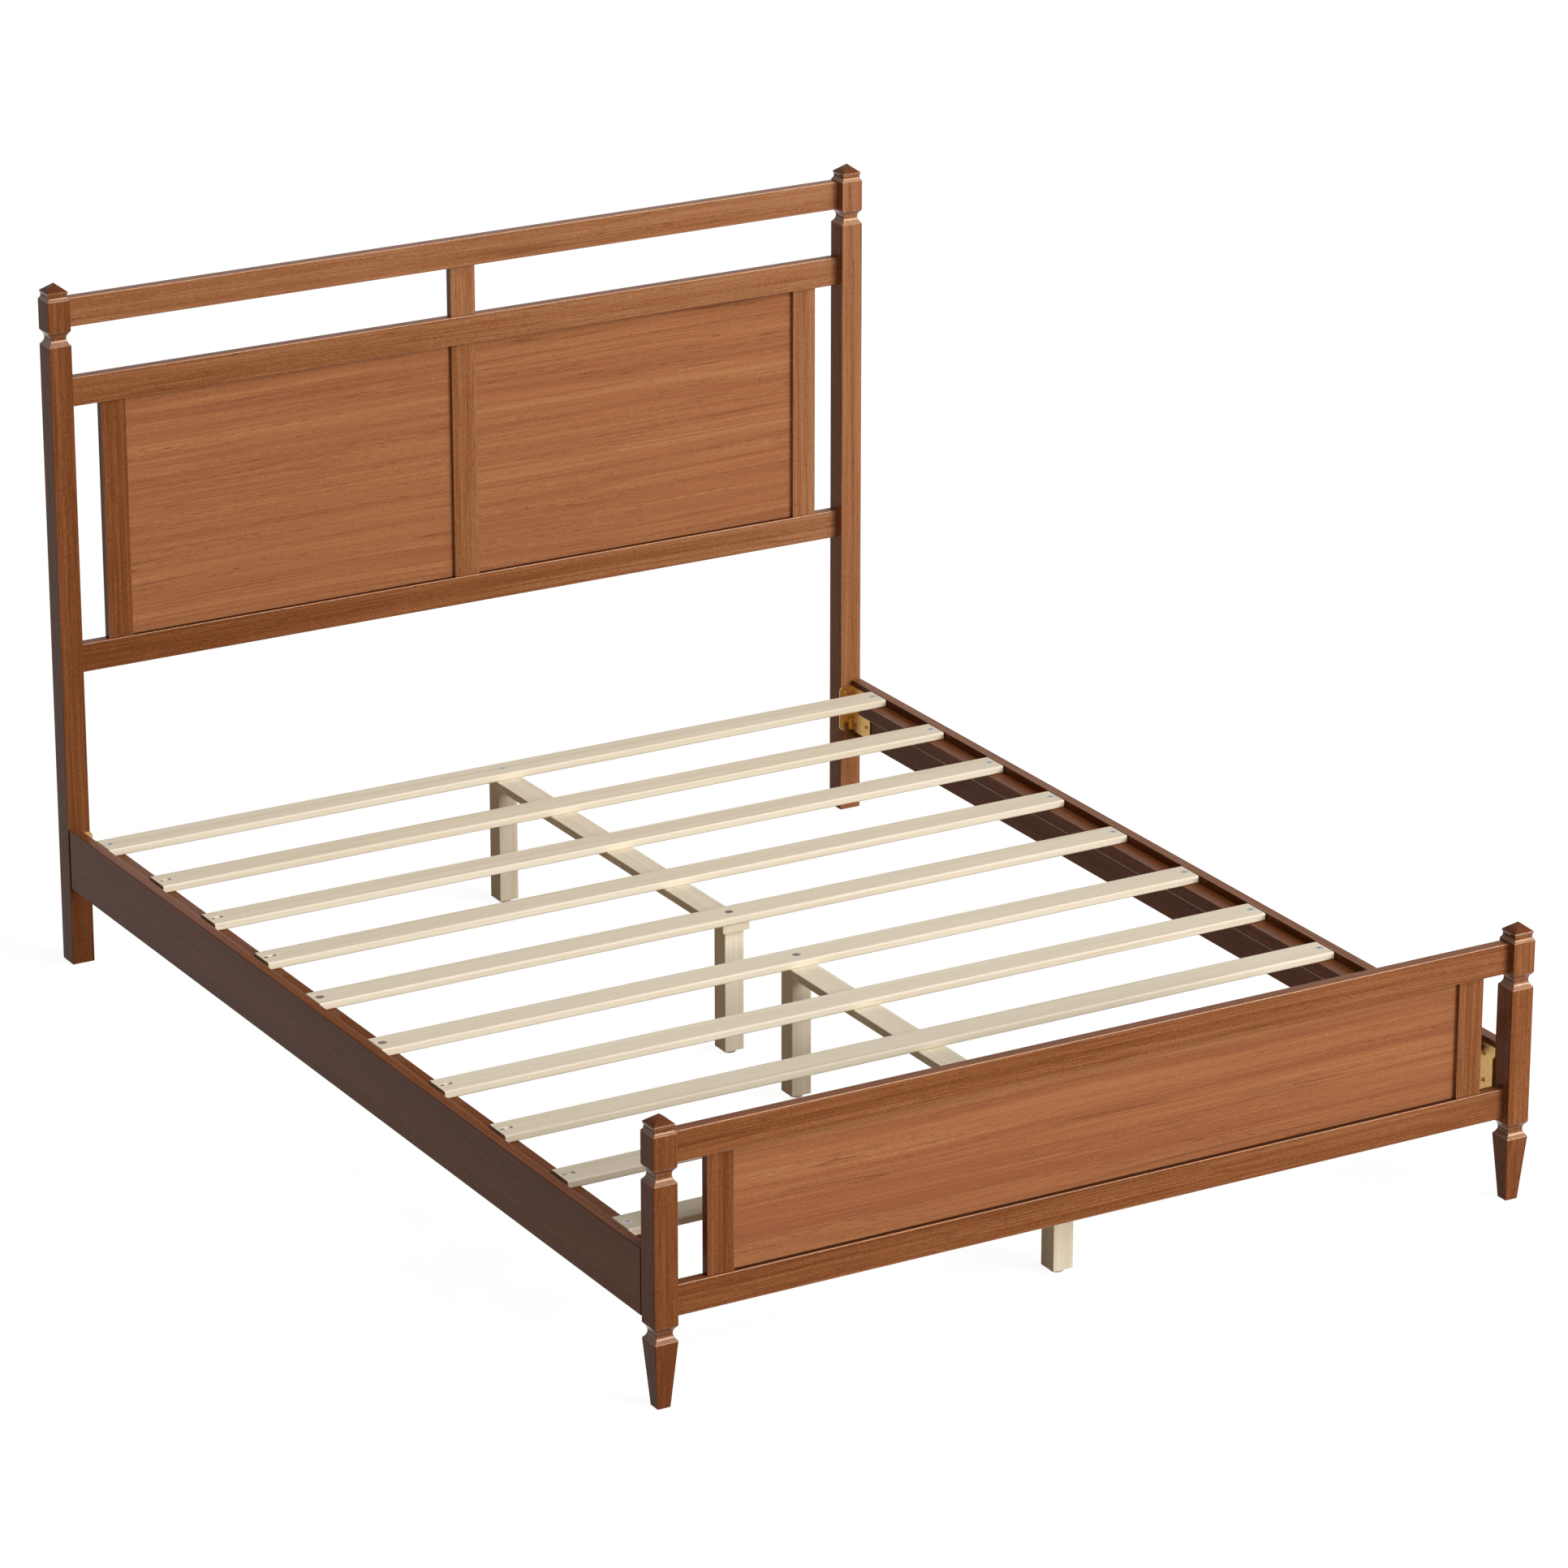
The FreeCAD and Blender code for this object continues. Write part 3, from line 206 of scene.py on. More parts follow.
class PlatformBedFinishes(bpy.types.PropertyGroup):
    """Colours of the finishes"""

    walnut_dark: tone(
        "Walnut dark", "Darkest streaks of the stained rails", (0.148, 0.0445, 0.0127))
    walnut_mid: tone("Walnut middle", "Main colour of the stained rails", (0.265, 0.0985, 0.037))
    walnut_light: tone(
        "Walnut light", "Lightest streaks of the stained rails", (0.397, 0.190, 0.095))
    panel_dark: tone("Panel dark", "Ruddy bands of the panels", (0.260, 0.090, 0.0425))
    panel_mid: tone("Panel middle", "Main colour of the panels", (0.330, 0.129, 0.055))
    panel_light: tone("Panel light", "Golden bands of the panels", (0.424, 0.196, 0.0815))
    grain_line: tone("Grain line", "Thin dark lines of the stained wood", (0.085, 0.03, 0.016))
    pale_dark: tone("Pale dark", "Darker grain of the slats", (0.735, 0.645, 0.49))
    pale_mid: tone(
        "Pale middle", "Main colour of slats, centre rails and legs", (0.80, 0.715, 0.565))
    pale_light: tone("Pale light", "Lighter grain of the slats", (0.835, 0.755, 0.605))
    gold: tone("Gold plate", "Colour of the brackets, their pins and screws", (0.63, 0.38, 0.13))
    zinc: tone("Zinc", "Colour of the slats' screws and of the inserts", (0.52, 0.52, 0.54))
    foot: tone("Foot", "Colour of the levelling feet", (0.62, 0.54, 0.42))
    dowel: tone("Dowel", "Colour of the dowels", (0.58, 0.42, 0.24))
    # Besides the end grain's stain, the colour of the painted shade on narrow faces, side rail
    # edges and inner faces
    stain_dark: tone("Stain dark", "Stain on end grain and in corners", (0.12, 0.032, 0.010))
    # Painted shade, darkest, in the corner in front of a panel's foot and round a side rail's
    # ends
    painted_corner_shade: tone("Corner dark", "Stain gathered under the panels", (0.05, 0.015, 0.005))
    pale_end: tone("Pale end", "End grain of the slats", (0.60, 0.51, 0.385))
    stain_gloss: share("Stain roughness", "Roughness of the stained wood's lacquer", 0.24)
    edge_gloss: share("Edge roughness", "Roughness of rubbed edges and mouldings", 0.21)
    pale_gloss: share("Pale roughness", "Roughness of the planed pale wood", 0.52)


class PlatformBedStage(bpy.types.PropertyGroup):
    """Camera and lights"""

    azimuth: angle("Azimuth", "Camera's turn round the bed", -30.02)
    elevation: angle("Elevation", "Camera's height above the horizon", 20.15)
    distance: length("Distance", "Camera to the point it looks at", 11.1393)
    aim_height: length("Aim height", "Height of the middle of the view", 0.45292)
    aim_right: length("Aim right", "Shift of the aim to the right", 0.03601)
    aim_up: length("Aim up", "Shift of the aim upwards", 0.05818)
    lens: amount("Lens", "Focal length on a 36 mm sensor", 155.0, "CAMERA")
    key: amount("Key", "High soft light from the front right", 3600.0, "POWER")
    front: amount("Front", "Low soft light from the front", 1900.0, "POWER")
    fill: amount("Fill", "Light from all round", 0.07)


# Shapes


def box_mesh(low, high):
    """A box between two corners."""
    low, high = Vector(low), Vector(high)
    bm = bmesh.new()
    bmesh.ops.create_cube(bm, size=1.0)
    bmesh.ops.scale(bm, vec=high - low, verts=bm.verts)
    bmesh.ops.translate(bm, vec=(low + high) / 2, verts=bm.verts)
    return bm


def shift_along(axis, reach):
    """A shift along one axis."""
    shift = Vector()
    shift[axis] = reach
    return shift


def soften(bm, edges, radius, steps):
    """Round edges over and mark the new faces as rubbed edges."""
    made = bmesh.ops.bevel(
        bm, geom=edges, offset=radius, offset_type="OFFSET", segments=steps,
        profile=ROUND_PROFILE, affect="EDGES", clamp_overlap=True, material=-1)
    for face in made["faces"]:
        face.material_index = EDGE
    bm.normal_update()


def edges_along(bm, axis):
    """The edges that run along an axis."""
    return [edge for edge in bm.edges
            if abs((edge.verts[1].co - edge.verts[0].co).normalized()[axis]) > SQUARE]


def end_edges(bm, axis):
    """The edges round the two ends of a board."""
    edges = []
    for edge in bm.edges:
        looks = sorted(abs(face.normal[axis]) for face in edge.link_faces)
        if looks[0] < SQUARE < looks[1]:
            edges.append(edge)
    return edges


def plank(low, high, axis, radius, end_radius=0.0):
    """A straight board with its long edges rounded over and its ends softened."""
    bm = box_mesh(low, high)
    soften(bm, edges_along(bm, axis), radius, ROUND_STEPS)
    if end_radius:
        soften(bm, end_edges(bm, axis), end_radius, ARRIS_STEPS)
    return bm


def drawn_out(bm, face, shift):
    """Extrude one face by a shift and return the new face."""
    made = bmesh.ops.extrude_face_region(bm, geom=[face, *face.edges])["geom"]
    face = next(item for item in made if isinstance(item, bmesh.types.BMFace))
    bmesh.ops.translate(bm, vec=shift, verts=face.verts)
    return face


def resized(bm, face, factors):
    """Scale one face about its own middle."""
    middle = face.calc_center_bounds()
    bmesh.ops.scale(bm, vec=factors, verts=face.verts, space=Matrix.Translation(-middle))


def end_face(bm, axis, sign):
    """The outermost face that looks along an axis."""
    bm.normal_update()
    squared = [face for face in bm.faces if face.normal[axis] * sign > SQUARE]
    return max(squared, key=lambda face: face.calc_center_bounds()[axis] * sign)


def tenons(bm, axis, reach, thickness, width):
    """Draw a shouldered tenon out of both ends of a board that lies in the XZ plane."""
    across = Z if axis == X else X
    for sign in (-1, 1):
        face = drawn_out(bm, end_face(bm, axis, sign), Vector())
        spans = [max(v.co[i] for v in face.verts) - min(v.co[i] for v in face.verts)
                 for i in (X, Y, Z)]
        factors = [1.0, thickness / spans[Y], 1.0]
        factors[across] = width / spans[across]
        resized(bm, face, factors)
        drawn_out(bm, face, shift_along(axis, sign * reach))
    bm.normal_update()


def sink(bm, faces, shift):
    """Move a patch of faces, with walls round it."""
    edges = {edge for face in faces for edge in face.edges}
    made = bmesh.ops.extrude_face_region(bm, geom=[*faces, *edges])["geom"]
    moved = [item for item in made if isinstance(item, bmesh.types.BMVert)]
    bmesh.ops.translate(bm, vec=shift, verts=moved)
    bm.normal_update()


def split(bm, faces, axis, at):
    """Cut faces where they cross a place on an axis, and return what they have become."""
    geom = set(faces)
    for face in faces:
        geom.update(face.edges)
        geom.update(face.verts)
    cut = bmesh.ops.bisect_plane(
        bm, geom=list(geom), dist=CUT_REACH, plane_co=shift_along(axis, at),
        plane_no=shift_along(axis, 1.0))
    return [item for item in cut["geom"] if isinstance(item, bmesh.types.BMFace)]


def pocket(bm, axis, sign, low, high, depth):
    """Sink a rectangle of the flat face that looks along an axis: a mortise or a groove."""
    bm.normal_update()
    faces = [face for face in bm.faces
             if face.normal[axis] * sign > SQUARE
             and abs(face.calc_center_bounds()[axis] - low[axis]) < NEAR]
    others = [other for other in (X, Y, Z) if other != axis]
    for other in others:
        for at in (low[other], high[other]):
            faces = split(bm, faces, other, at)
    inside = []
    for face in faces:
        middle = face.calc_center_bounds()
        if all(low[other] < middle[other] < high[other] for other in others):
            inside.append(face)
    if not inside:
        raise ValueError(f"a pocket at {tuple(low)} lies on no face")
    sink(bm, inside, shift_along(axis, -sign * depth))


def hollow(start, end, radius):
    """Stations on a hollow arc between two (height, half width) stations."""
    start, end = Vector(start[:2]), Vector(end[:2])
    chord = end - start
    outward = Vector((-chord.y, chord.x)).normalized()
    if outward.y < 0:
        outward = -outward
    centre = (start + end) / 2 + outward * math.sqrt(radius ** 2 - (chord.length / 2) ** 2)
    first = start - centre
    turn = first.angle_signed(end - centre)
    stations = []
    for step in range(1, COVE_STEPS):
        point = first.copy()
        point.rotate(Matrix.Rotation(-turn * step / COVE_STEPS, 2))
        stations.append((centre.x + point.x, centre.y + point.y, False))
    return stations


def drawn_up(bm, face, stations):
    """Draw a face up through (height, half width, arris) stations.

    Return the last face and the arris edges.
    """
    arrises = []
    here = face.calc_center_bounds()
    height, half = here.z, max(vert.co.x - here.x for vert in face.verts)
    for next_height, next_half, arris in stations:
        face = drawn_out(bm, face, shift_along(Z, next_height - height))
        factor = next_half / half
        resized(bm, face, (factor, factor, 1.0))
        height, half = next_height, next_half
        if arris:
            arrises.extend(face.edges)
    return face, arrises


def square_face(bm, half, corner):
    """A square on the floor with rounded corners."""
    made = bmesh.ops.create_grid(bm, x_segments=1, y_segments=1, size=half)
    bmesh.ops.bevel(
        bm, geom=made["verts"], offset=corner, offset_type="OFFSET", segments=ROUND_STEPS,
        profile=ROUND_PROFILE, affect="VERTICES", clamp_overlap=True, material=-1)
    bm.faces.ensure_lookup_table()
    return bm.faces[0]


def turned(stations, at):
    """A solid of revolution about an upright line, drawn up through (height, radius) stations."""
    bm = bmesh.new()
    height, radius = stations[0]
    bmesh.ops.create_circle(bm, cap_ends=True, segments=TURNED_STEPS, radius=radius)
    bmesh.ops.translate(bm, vec=shift_along(Z, height), verts=bm.verts)
    bm.faces.ensure_lookup_table()
    drawn_up(bm, bm.faces[0], [(*station, False) for station in stations[1:]])
    bmesh.ops.recalc_face_normals(bm, faces=bm.faces)
    bmesh.ops.translate(bm, vec=(at.x, at.y, 0.0), verts=bm.verts)
    return bm


# Pieces


# How much paler or darker than the rest single boards are, at their left or lower end and at
# the other end: partly each board's own tone, partly painted light, mostly darker on the left
# and lower down and paler on the right
BOARD_TONES_AND_PAINTED_LIGHT = {
    "headboard_top_rail": (0.055, 0.155), "headboard_middle_rail": (-0.06, 0.14),
    "headboard_bottom_rail": (-0.23, 0.12), "headboard_short_stile": (0.11, 0.11),
    "headboard_mullion": (0.01, 0.01),
    "headboard_stile_left": (-0.17, -0.17), "headboard_stile_right": (0.12, 0.12),
    "headboard_post_left": (-0.15, -0.15), "headboard_post_right": (0.09, 0.09),
    "footboard_top_rail": (-0.08, 0.0), "footboard_bottom_rail": (-0.14, -0.04),
    "footboard_stile_left": (-0.16, -0.16),
    "footboard_post_left": (-0.20, -0.12), "footboard_post_right": (-0.11, -0.05),
    "footboard_panel": (-0.02, -0.04), "side_rail_left": (-0.06, -0.06),
    "cleat_left": (-0.15, -0.15), "cleat_right": (-0.15, -0.15),
}
EVEN_TONE = (0.0, 0.0)
# Painted shade on faces of a board, as an amount of end-grain stain colour: in corners under the
# panels and round a side rail's ends, on the narrow upper and lower faces of a lying board, and
# on a side rail's outer rounded edges and inner face
PAINTED_SHADE_CORNER = 2.0
PAINTED_SHADE_NARROW = 0.45
PAINTED_SHADE_EDGE = 1.0
PAINTED_SHADE_INNER = 0.6
# Order of a point's coordinates along, across and into the grain, for each grain direction
GRAIN_ORDER = {X: (X, Z, Y), Y: (Y, Z, X), Z: (Z, X, Y)}
# Step in the tree from one board to the next
TREE_STEP = (0.73, 0.31, 0.47)


def to_object(bm, name):
    """Make an object of a finished bmesh, at the origin."""
    mesh = bpy.data.meshes.new(name)
    bm.to_mesh(mesh)
    bm.free()
    piece = bpy.data.objects.new(name, mesh)
    bpy.context.scene.collection.objects.link(piece)
    return piece


def finished(bm, node):
    """The piece that will stand for a CAD node."""
    return to_object(bm, f"finished_{node}")


def carve(piece, cutters):
    """Cut closed meshes out of a piece and keep the result as the piece's own mesh."""
    tools = []
    for number, cutter in enumerate(cutters):
        tool = to_object(cutter, f"cutter_{number}")
        cut = piece.modifiers.new("carve", "BOOLEAN")
        cut.operation = "DIFFERENCE"
        cut.solver = "EXACT"
        cut.object = tool
        tools.append(tool)
    depsgraph = bpy.context.evaluated_depsgraph_get()
    carved = bpy.data.meshes.new_from_object(piece.evaluated_get(depsgraph))
    piece.modifiers.clear()
    plain = piece.data
    piece.data = carved
    bpy.data.meshes.remove(plain)
    carved.name = piece.name
    for tool in tools:
        mesh = tool.data
        bpy.data.objects.remove(tool)
        bpy.data.meshes.remove(mesh)


def lay_grain(mesh, node, axis, corners, stained):
    """Give each point its place in the tree and its board's tone, and each face its end grain.

    The board's tone also carries painted light, mostly darker to the left and lower down.
    Painted shade is laid on the faces inside the given (low, high, amount) boxes, which
    aren't rubbed, and on the narrow upper and lower faces of a rubbed lying board.
    """
    place_in_tree = Vector(TREE_STEP) * sorted(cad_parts).index(node)
    grain = mesh.attributes.new("grain", "FLOAT_VECTOR", "POINT")
    for vert, place in zip(mesh.vertices, grain.data):
        place.vector = Vector([vert.co[i] for i in GRAIN_ORDER[axis]]) + place_in_tree
    cut = mesh.attributes.new("end_grain", "FLOAT", "FACE")
    for face, stain in zip(mesh.polygons, cut.data):
        stain.value = math.sqrt(abs(face.normal[axis]))
        # Painted shade on the narrow upper and lower faces of a rubbed board that lies along X or
        # Y
        if stained and axis != Z and abs(face.normal.z) > SQUARE:
            stain.value = PAINTED_SHADE_NARROW
        # Painted shade on the faces inside the given boxes, which also lose their rubbed gloss
        for low, high, painted_shade_amount in corners:
            if all(low[i] <= face.center[i] <= high[i] for i in (X, Y, Z)):
                stain.value = painted_shade_amount
                face.material_index = 0
    # Each board's tone, partly painted light, runs from one end to the other
    first, last = BOARD_TONES_AND_PAINTED_LIGHT.get(node, EVEN_TONE)
    start = min(vert.co[axis] for vert in mesh.vertices)
    run = max(vert.co[axis] for vert in mesh.vertices) - start
    shade = mesh.attributes.new("board_tone", "FLOAT", "POINT")
    for vert, paler in zip(mesh.vertices, shade.data):
        paler.value = first + (last - first) * (vert.co[axis] - start) / run


def dress(piece, node, finish, axis=None, edges=None, corners=(), body=FRAME_BODY):
    """Shade a piece, give it its finish and let it stand for its CAD node."""
    mesh = piece.data
    mesh.shade_smooth()
    mesh.set_sharp_from_angle(angle=SHARP_ANGLE)
    even = piece.modifiers.new("even_shading", "WEIGHTED_NORMAL")
    even.mode = "FACE_AREA"
    even.keep_sharp = True
    if axis is not None:
        lay_grain(mesh, node, axis, corners, bool(edges))
    mesh.materials.append(finish_for(finish))
    if edges:
        mesh.materials.append(finish_for(edges))
    else:
        for face in mesh.polygons:
            face.material_index = 0
    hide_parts(node)
    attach(piece, body)


def dress_walnut(bm, node, axis, edges="walnut_edge", corners=()):
    dress(finished(bm, node), node, "walnut_rail", axis, edges, corners)


def dress_pale(piece, node, axis):
    dress(piece, node, "pale_wood", axis)


# Finishes


# Tint of what the varnish and the bare wood reflect
WARM_GLEAM = (1.0, 0.74, 0.54, 1.0)
WHITE = (1.0, 1.0, 1.0, 1.0)
# Widths, in metres, and weights are those of bands, streaks, fibres and flecks
WOODS = {
    "walnut_rail": {
        "tones": ("walnut_dark", "walnut_mid", "walnut_light", "grain_line", "stain_dark"),
        "widths": (0.012, 0.0034, 0.0013, 0.0013), "weights": (0.36, 0.36, 0.48, 0.42),
        "lines": 0.55, "pores": 0.60, "ends": 0.9, "bump": 0.10, "specular": 0.05,
        "gleam": WARM_GLEAM, "gloss": "stain_gloss",
    },
    "walnut_panel": {
        "tones": ("panel_dark", "panel_mid", "panel_light", "grain_line", "stain_dark"),
        "widths": (0.020, 0.0044, 0.0013, 0.0013), "weights": (0.62, 0.44, 0.46, 0.46),
        "lines": 0.75, "pores": 0.60, "ends": 0.9, "bump": 0.08, "specular": 0.05,
        "gleam": WARM_GLEAM, "gloss": "stain_gloss",
    },
    "pale_wood": {
        "tones": ("pale_dark", "pale_mid", "pale_light", "pale_dark", "pale_end"),
        "widths": (0.011, 0.0055, 0.0018, 0.0018), "weights": (0.90, 0.80, 0.45, 0.25),
        "lines": 0.45, "pores": 0.35, "ends": 0.4, "bump": 0.10, "specular": 0.02,
        "gleam": WHITE, "gloss": "pale_gloss",
    },
}
WOODS["walnut_edge"] = {
    **WOODS["walnut_rail"], "ends": 0.2, "bump": 0.04, "specular": 0.85, "gloss": "edge_gloss"}
WOODS["walnut_moulding"] = {**WOODS["walnut_edge"], "specular": 0.55}
# Repeats per metre along the grain, and detail, of bands, streaks, fibres and flecks
PATTERNS = ((0.4, 2.0), (1.1, 3.0), (5.0, 2.0), (190.0, 1.0))
# Repeats per metre along and across the grain, and detail, of the wood's other patterns
SWAY = (1.3, 4.0, 1.0)
RINGS = (0.5, 46.0, 1.0)
RUNS = (2.5, 36.0, 1.0)
DASHES = (40.0, 800.0, 1.0)
CLUSTERS = (1.6, 60.0, 1.0)
SWAY_REACH = (0.0, 0.02, 0.02)
TONE_PLACES = (0.26, 0.5, 0.76)
RING_LINES = 10.0
LINE_WIDTH = 0.10
# Where a pattern starts and ends to show, and what it then comes to where that isn't 0 to 1
RUN_FADE = (0.46, 0.60)
BROKEN_LINE = (0.40, 0.58, 0.25, 1.0)
DASH_FADE = (0.56, 0.72)
CLUSTER_FADE = (0.40, 0.66)
CLOUD_FADE = (0.3, 0.7)
# How much the wood's roughness falls and rises from streak to streak
STREAK_GLOSS = (-0.04, 0.06)
BUMP_HEIGHT = 0.0004
# Finishes of the fittings: repeats per metre along and across, and detail, of the clouds and
# the skin; tone of the darker clouds; least and most roughness, and the pattern it follows
METAL = {
    "cloud": (140.0, 140.0, 3.0), "skin": (1800.0, 1800.0, 2.0), "deep": 0.72,
    "follows": "cloud", "bump": 0.06, "metallic": 1.0,
}
MOTTLED = {
    "gold_plate": {**METAL, "tone": "gold", "roughness": (0.25, 0.42)},
    "zinc_plate": {**METAL, "tone": "zinc", "roughness": (0.23, 0.40)},
    "foot_plastic": {
        "cloud": (90.0, 90.0, 2.0), "skin": (2600.0, 2600.0, 2.0), "deep": 0.86,
        "follows": "skin", "bump": 0.2, "metallic": 0.0, "tone": "foot",
        "roughness": (0.44, 0.56),
    },
    "dowel_wood": {
        "cloud": (40.0, 1200.0, 2.0), "skin": (40.0, 1200.0, 2.0), "deep": 0.75,
        "follows": "skin", "bump": 0.3, "metallic": 0.0, "tone": "dowel",
        "roughness": (0.55, 0.7),
    },
}


class Nodes:
    """The node tree of a material or a world, whose nodes are added one at a time."""

    def __init__(self, owner):
        owner.use_nodes = True
        self.owner = owner
        self.tree = owner.node_tree
        self.tree.nodes.clear()

    def node(self, kind, inputs=None, **settings):
        made = self.tree.nodes.new(kind)
        for key, value in settings.items():
            setattr(made, key, value)
        for key, value in (inputs or {}).items():
            if isinstance(value, bpy.types.NodeSocket):
                self.tree.links.new(value, made.inputs[key])
            else:
                made.inputs[key].default_value = value
        return made

    def attribute(self, name, output="Fac"):
        return self.node("ShaderNodeAttribute", attribute_name=name).outputs[output]

    def noise(self, vector, along, across, detail, output="Fac"):
        """Noise with its repeats per metre along and across the first axis."""
        mapping = self.node(
            "ShaderNodeMapping", {"Vector": vector, "Scale": (along, across, across)})
        made = self.node("ShaderNodeTexNoise", {
            "Vector": mapping.outputs["Vector"], "Scale": 1.0, "Detail": detail})
        return made.outputs[output]

    def math(self, operation, first, second, third=0.0):
        made = self.node(
            "ShaderNodeMath", {0: first, 1: second, 2: third}, operation=operation)
        return made.outputs[0]

    def ranged(self, value, low, high, to_low=0.0, to_high=1.0):
        made = self.node("ShaderNodeMapRange", {
            "Value": value, "From Min": low, "From Max": high,
            "To Min": to_low, "To Max": to_high})
        return made.outputs[0]

    def mixed(self, factor, first, second):
        """The first colour, painted over with the second."""
        made = self.node("ShaderNodeMix", {0: factor, 6: first, 7: second}, data_type="RGBA")
        return made.outputs[2]

    def ramp(self, value, places, colours):
        made = self.node("ShaderNodeValToRGB", {"Fac": value})
        elements = made.color_ramp.elements
        while len(elements) < len(places):
            elements.new(1.0)
        for element, place, colour in zip(elements, places, colours):
            element.position = place
            element.color = (*colour[:3], 1.0)
        return made.outputs["Color"]

    def surface(self, colour, roughness, height, bump, sockets):
        """Close a material with a shader, its bump and its output."""
        bumped = self.node("ShaderNodeBump", {
            "Height": height, "Strength": bump, "Distance": BUMP_HEIGHT})
        shader = self.node("ShaderNodeBsdfPrincipled", {
            "Base Color": colour, "Roughness": roughness, "Normal": bumped.outputs[0],
            **sockets})
        self.node("ShaderNodeOutputMaterial", {"Surface": shader.outputs[0]})
        return self.owner

    def backdrop(self, output, lighting, seen):
        """Close a tree with one shader for rays that see the background, and one for others.

        Camera, glossy and transmission rays see the background.
        """
        path = self.node("ShaderNodeLightPath").outputs
        sees = path["Is Camera Ray"]
        for name in ("Is Glossy Ray", "Is Transmission Ray"):
            sees = self.math("MAXIMUM", sees, path[name])
        choice = self.node("ShaderNodeMixShader", {
            0: sees, 1: lighting.outputs[0], 2: seen.outputs[0]})
        self.node(output, {"Surface": choice.outputs[0]})
        return self.owner


def wood(name, look, settings):
    """Straight-grained wood: bands, streaks, fibres and flecks, with thin lines and pores."""
    dark, middle, light, line_tone, end_stain_and_shade_tone = (
        (*getattr(settings, tone_name), 1.0) for tone_name in look["tones"])
    finish = Nodes(bpy.data.materials.new(name))
    grain = finish.attribute("grain", "Vector")
    sway = finish.noise(grain, *SWAY, "Color")
    swayed = finish.node(
        "ShaderNodeVectorMath", {0: sway, 1: SWAY_REACH, 2: grain},
        operation="MULTIPLY_ADD").outputs[0]
    # The board's tone, partly painted light, shifts the value of the patterns
    value = finish.math("ADD", finish.attribute("board_tone"), 0.5 - sum(look["weights"]) / 2)
    patterns = []
    for (along, detail), width, weight in zip(PATTERNS, look["widths"], look["weights"]):
        patterns.append(finish.noise(swayed, along, 1 / width, detail))
        value = finish.math("MULTIPLY_ADD", patterns[-1], weight, value)
    streak, fibre, fleck = patterns[1:]
    colour = finish.ramp(value, TONE_PLACES, (dark, middle, light))

    rings = finish.math("MULTIPLY", finish.noise(swayed, *RINGS), RING_LINES)
    line = finish.ranged(finish.math("PINGPONG", rings, 1.0), 0.0, LINE_WIDTH, 1.0, 0.0)
    runs = finish.ranged(finish.noise(grain, *RUNS), *RUN_FADE)
    line = finish.math("MULTIPLY", line, runs)
    line = finish.math("MULTIPLY", line, finish.ranged(fleck, *BROKEN_LINE))
    colour = finish.mixed(finish.math("MULTIPLY", line, look["lines"]), colour, line_tone)

    dashes = finish.ranged(finish.noise(swayed, *DASHES), *DASH_FADE)
    clusters = finish.ranged(finish.noise(swayed, *CLUSTERS), *CLUSTER_FADE)
    pores = finish.math("MULTIPLY", dashes, clusters)
    colour = finish.mixed(finish.math("MULTIPLY", pores, look["pores"]), colour, line_tone)

    # The end grain's stain, and painted shade where the amount comes from the shade boxes and
    # narrow faces
    cut = finish.attribute("end_grain")
    colour = finish.mixed(finish.math("MULTIPLY", cut, look["ends"]), colour, end_stain_and_shade_tone)
    # Painted shade: where the amount is above 1, the colour is painted darker still, towards the
    # corner shade
    corner = (*settings.painted_corner_shade, 1.0)
    colour = finish.mixed(finish.ranged(cut, 1.0, PAINTED_SHADE_CORNER), colour, corner)
    gloss = getattr(settings, look["gloss"])
    roughness = finish.ranged(streak, *CLOUD_FADE, *(gloss + change for change in STREAK_GLOSS))
    height = finish.math("SUBTRACT", fibre, finish.math("ADD", pores, line))
    return finish.surface(colour, roughness, height, look["bump"], {
        "Specular IOR Level": look["specular"], "Specular Tint": look["gleam"]})


def mottled(name, look, settings):
    """Plated metal, moulded plastic or plain dowel wood: soft clouds under a fine skin."""
    finish = Nodes(bpy.data.materials.new(name))
    place = finish.node("ShaderNodeTexCoord").outputs["Object"]
    patterns = {key: finish.noise(place, *look[key]) for key in ("cloud", "skin")}
    colour = getattr(settings, look["tone"])
    deep = [channel * look["deep"] for channel in colour]
    tint = finish.ramp(patterns["cloud"], CLOUD_FADE, (deep, colour))
    rough = finish.ranged(patterns[look["follows"]], *CLOUD_FADE, *look["roughness"])
    return finish.surface(
        tint, rough, patterns["skin"], look["bump"], {"Metallic": look["metallic"]})


def finish_for(name):
    """The named finish, made when it is first asked for."""
    full_name = f"{name}_finish"
    known = bpy.data.materials.get(full_name)
    if known:
        return known
    settings = bpy.context.scene.platform_bed_finishes
    if name in WOODS:
        return wood(full_name, WOODS[name], settings)
    return mottled(full_name, MOTTLED[name], settings)


# Posts


def neck_stations(sizes, half, top):
    """A neck from its shoulder up to the bevel under the block."""
    waist = half - sizes.neck_depth
    chamfer_end = top - sizes.neck_chamfer_height
    cove_end = chamfer_end - sizes.neck_cove_height
    flare_start = cove_end - sizes.neck_flat
    shoulder = (flare_start - sizes.neck_flare_height, half, True)
    waist_low = (flare_start, waist, False)
    waist_high = (cove_end, waist, False)
    cove_top = (chamfer_end, half - sizes.neck_chamfer_depth, True)
    return [
        shoulder,
        *hollow(shoulder, waist_low, sizes.neck_flare_radius),
        waist_low,
        waist_high,
        *hollow(waist_high, cove_top, sizes.neck_cove_radius),
        cove_top,
        (top, half, True),
    ]


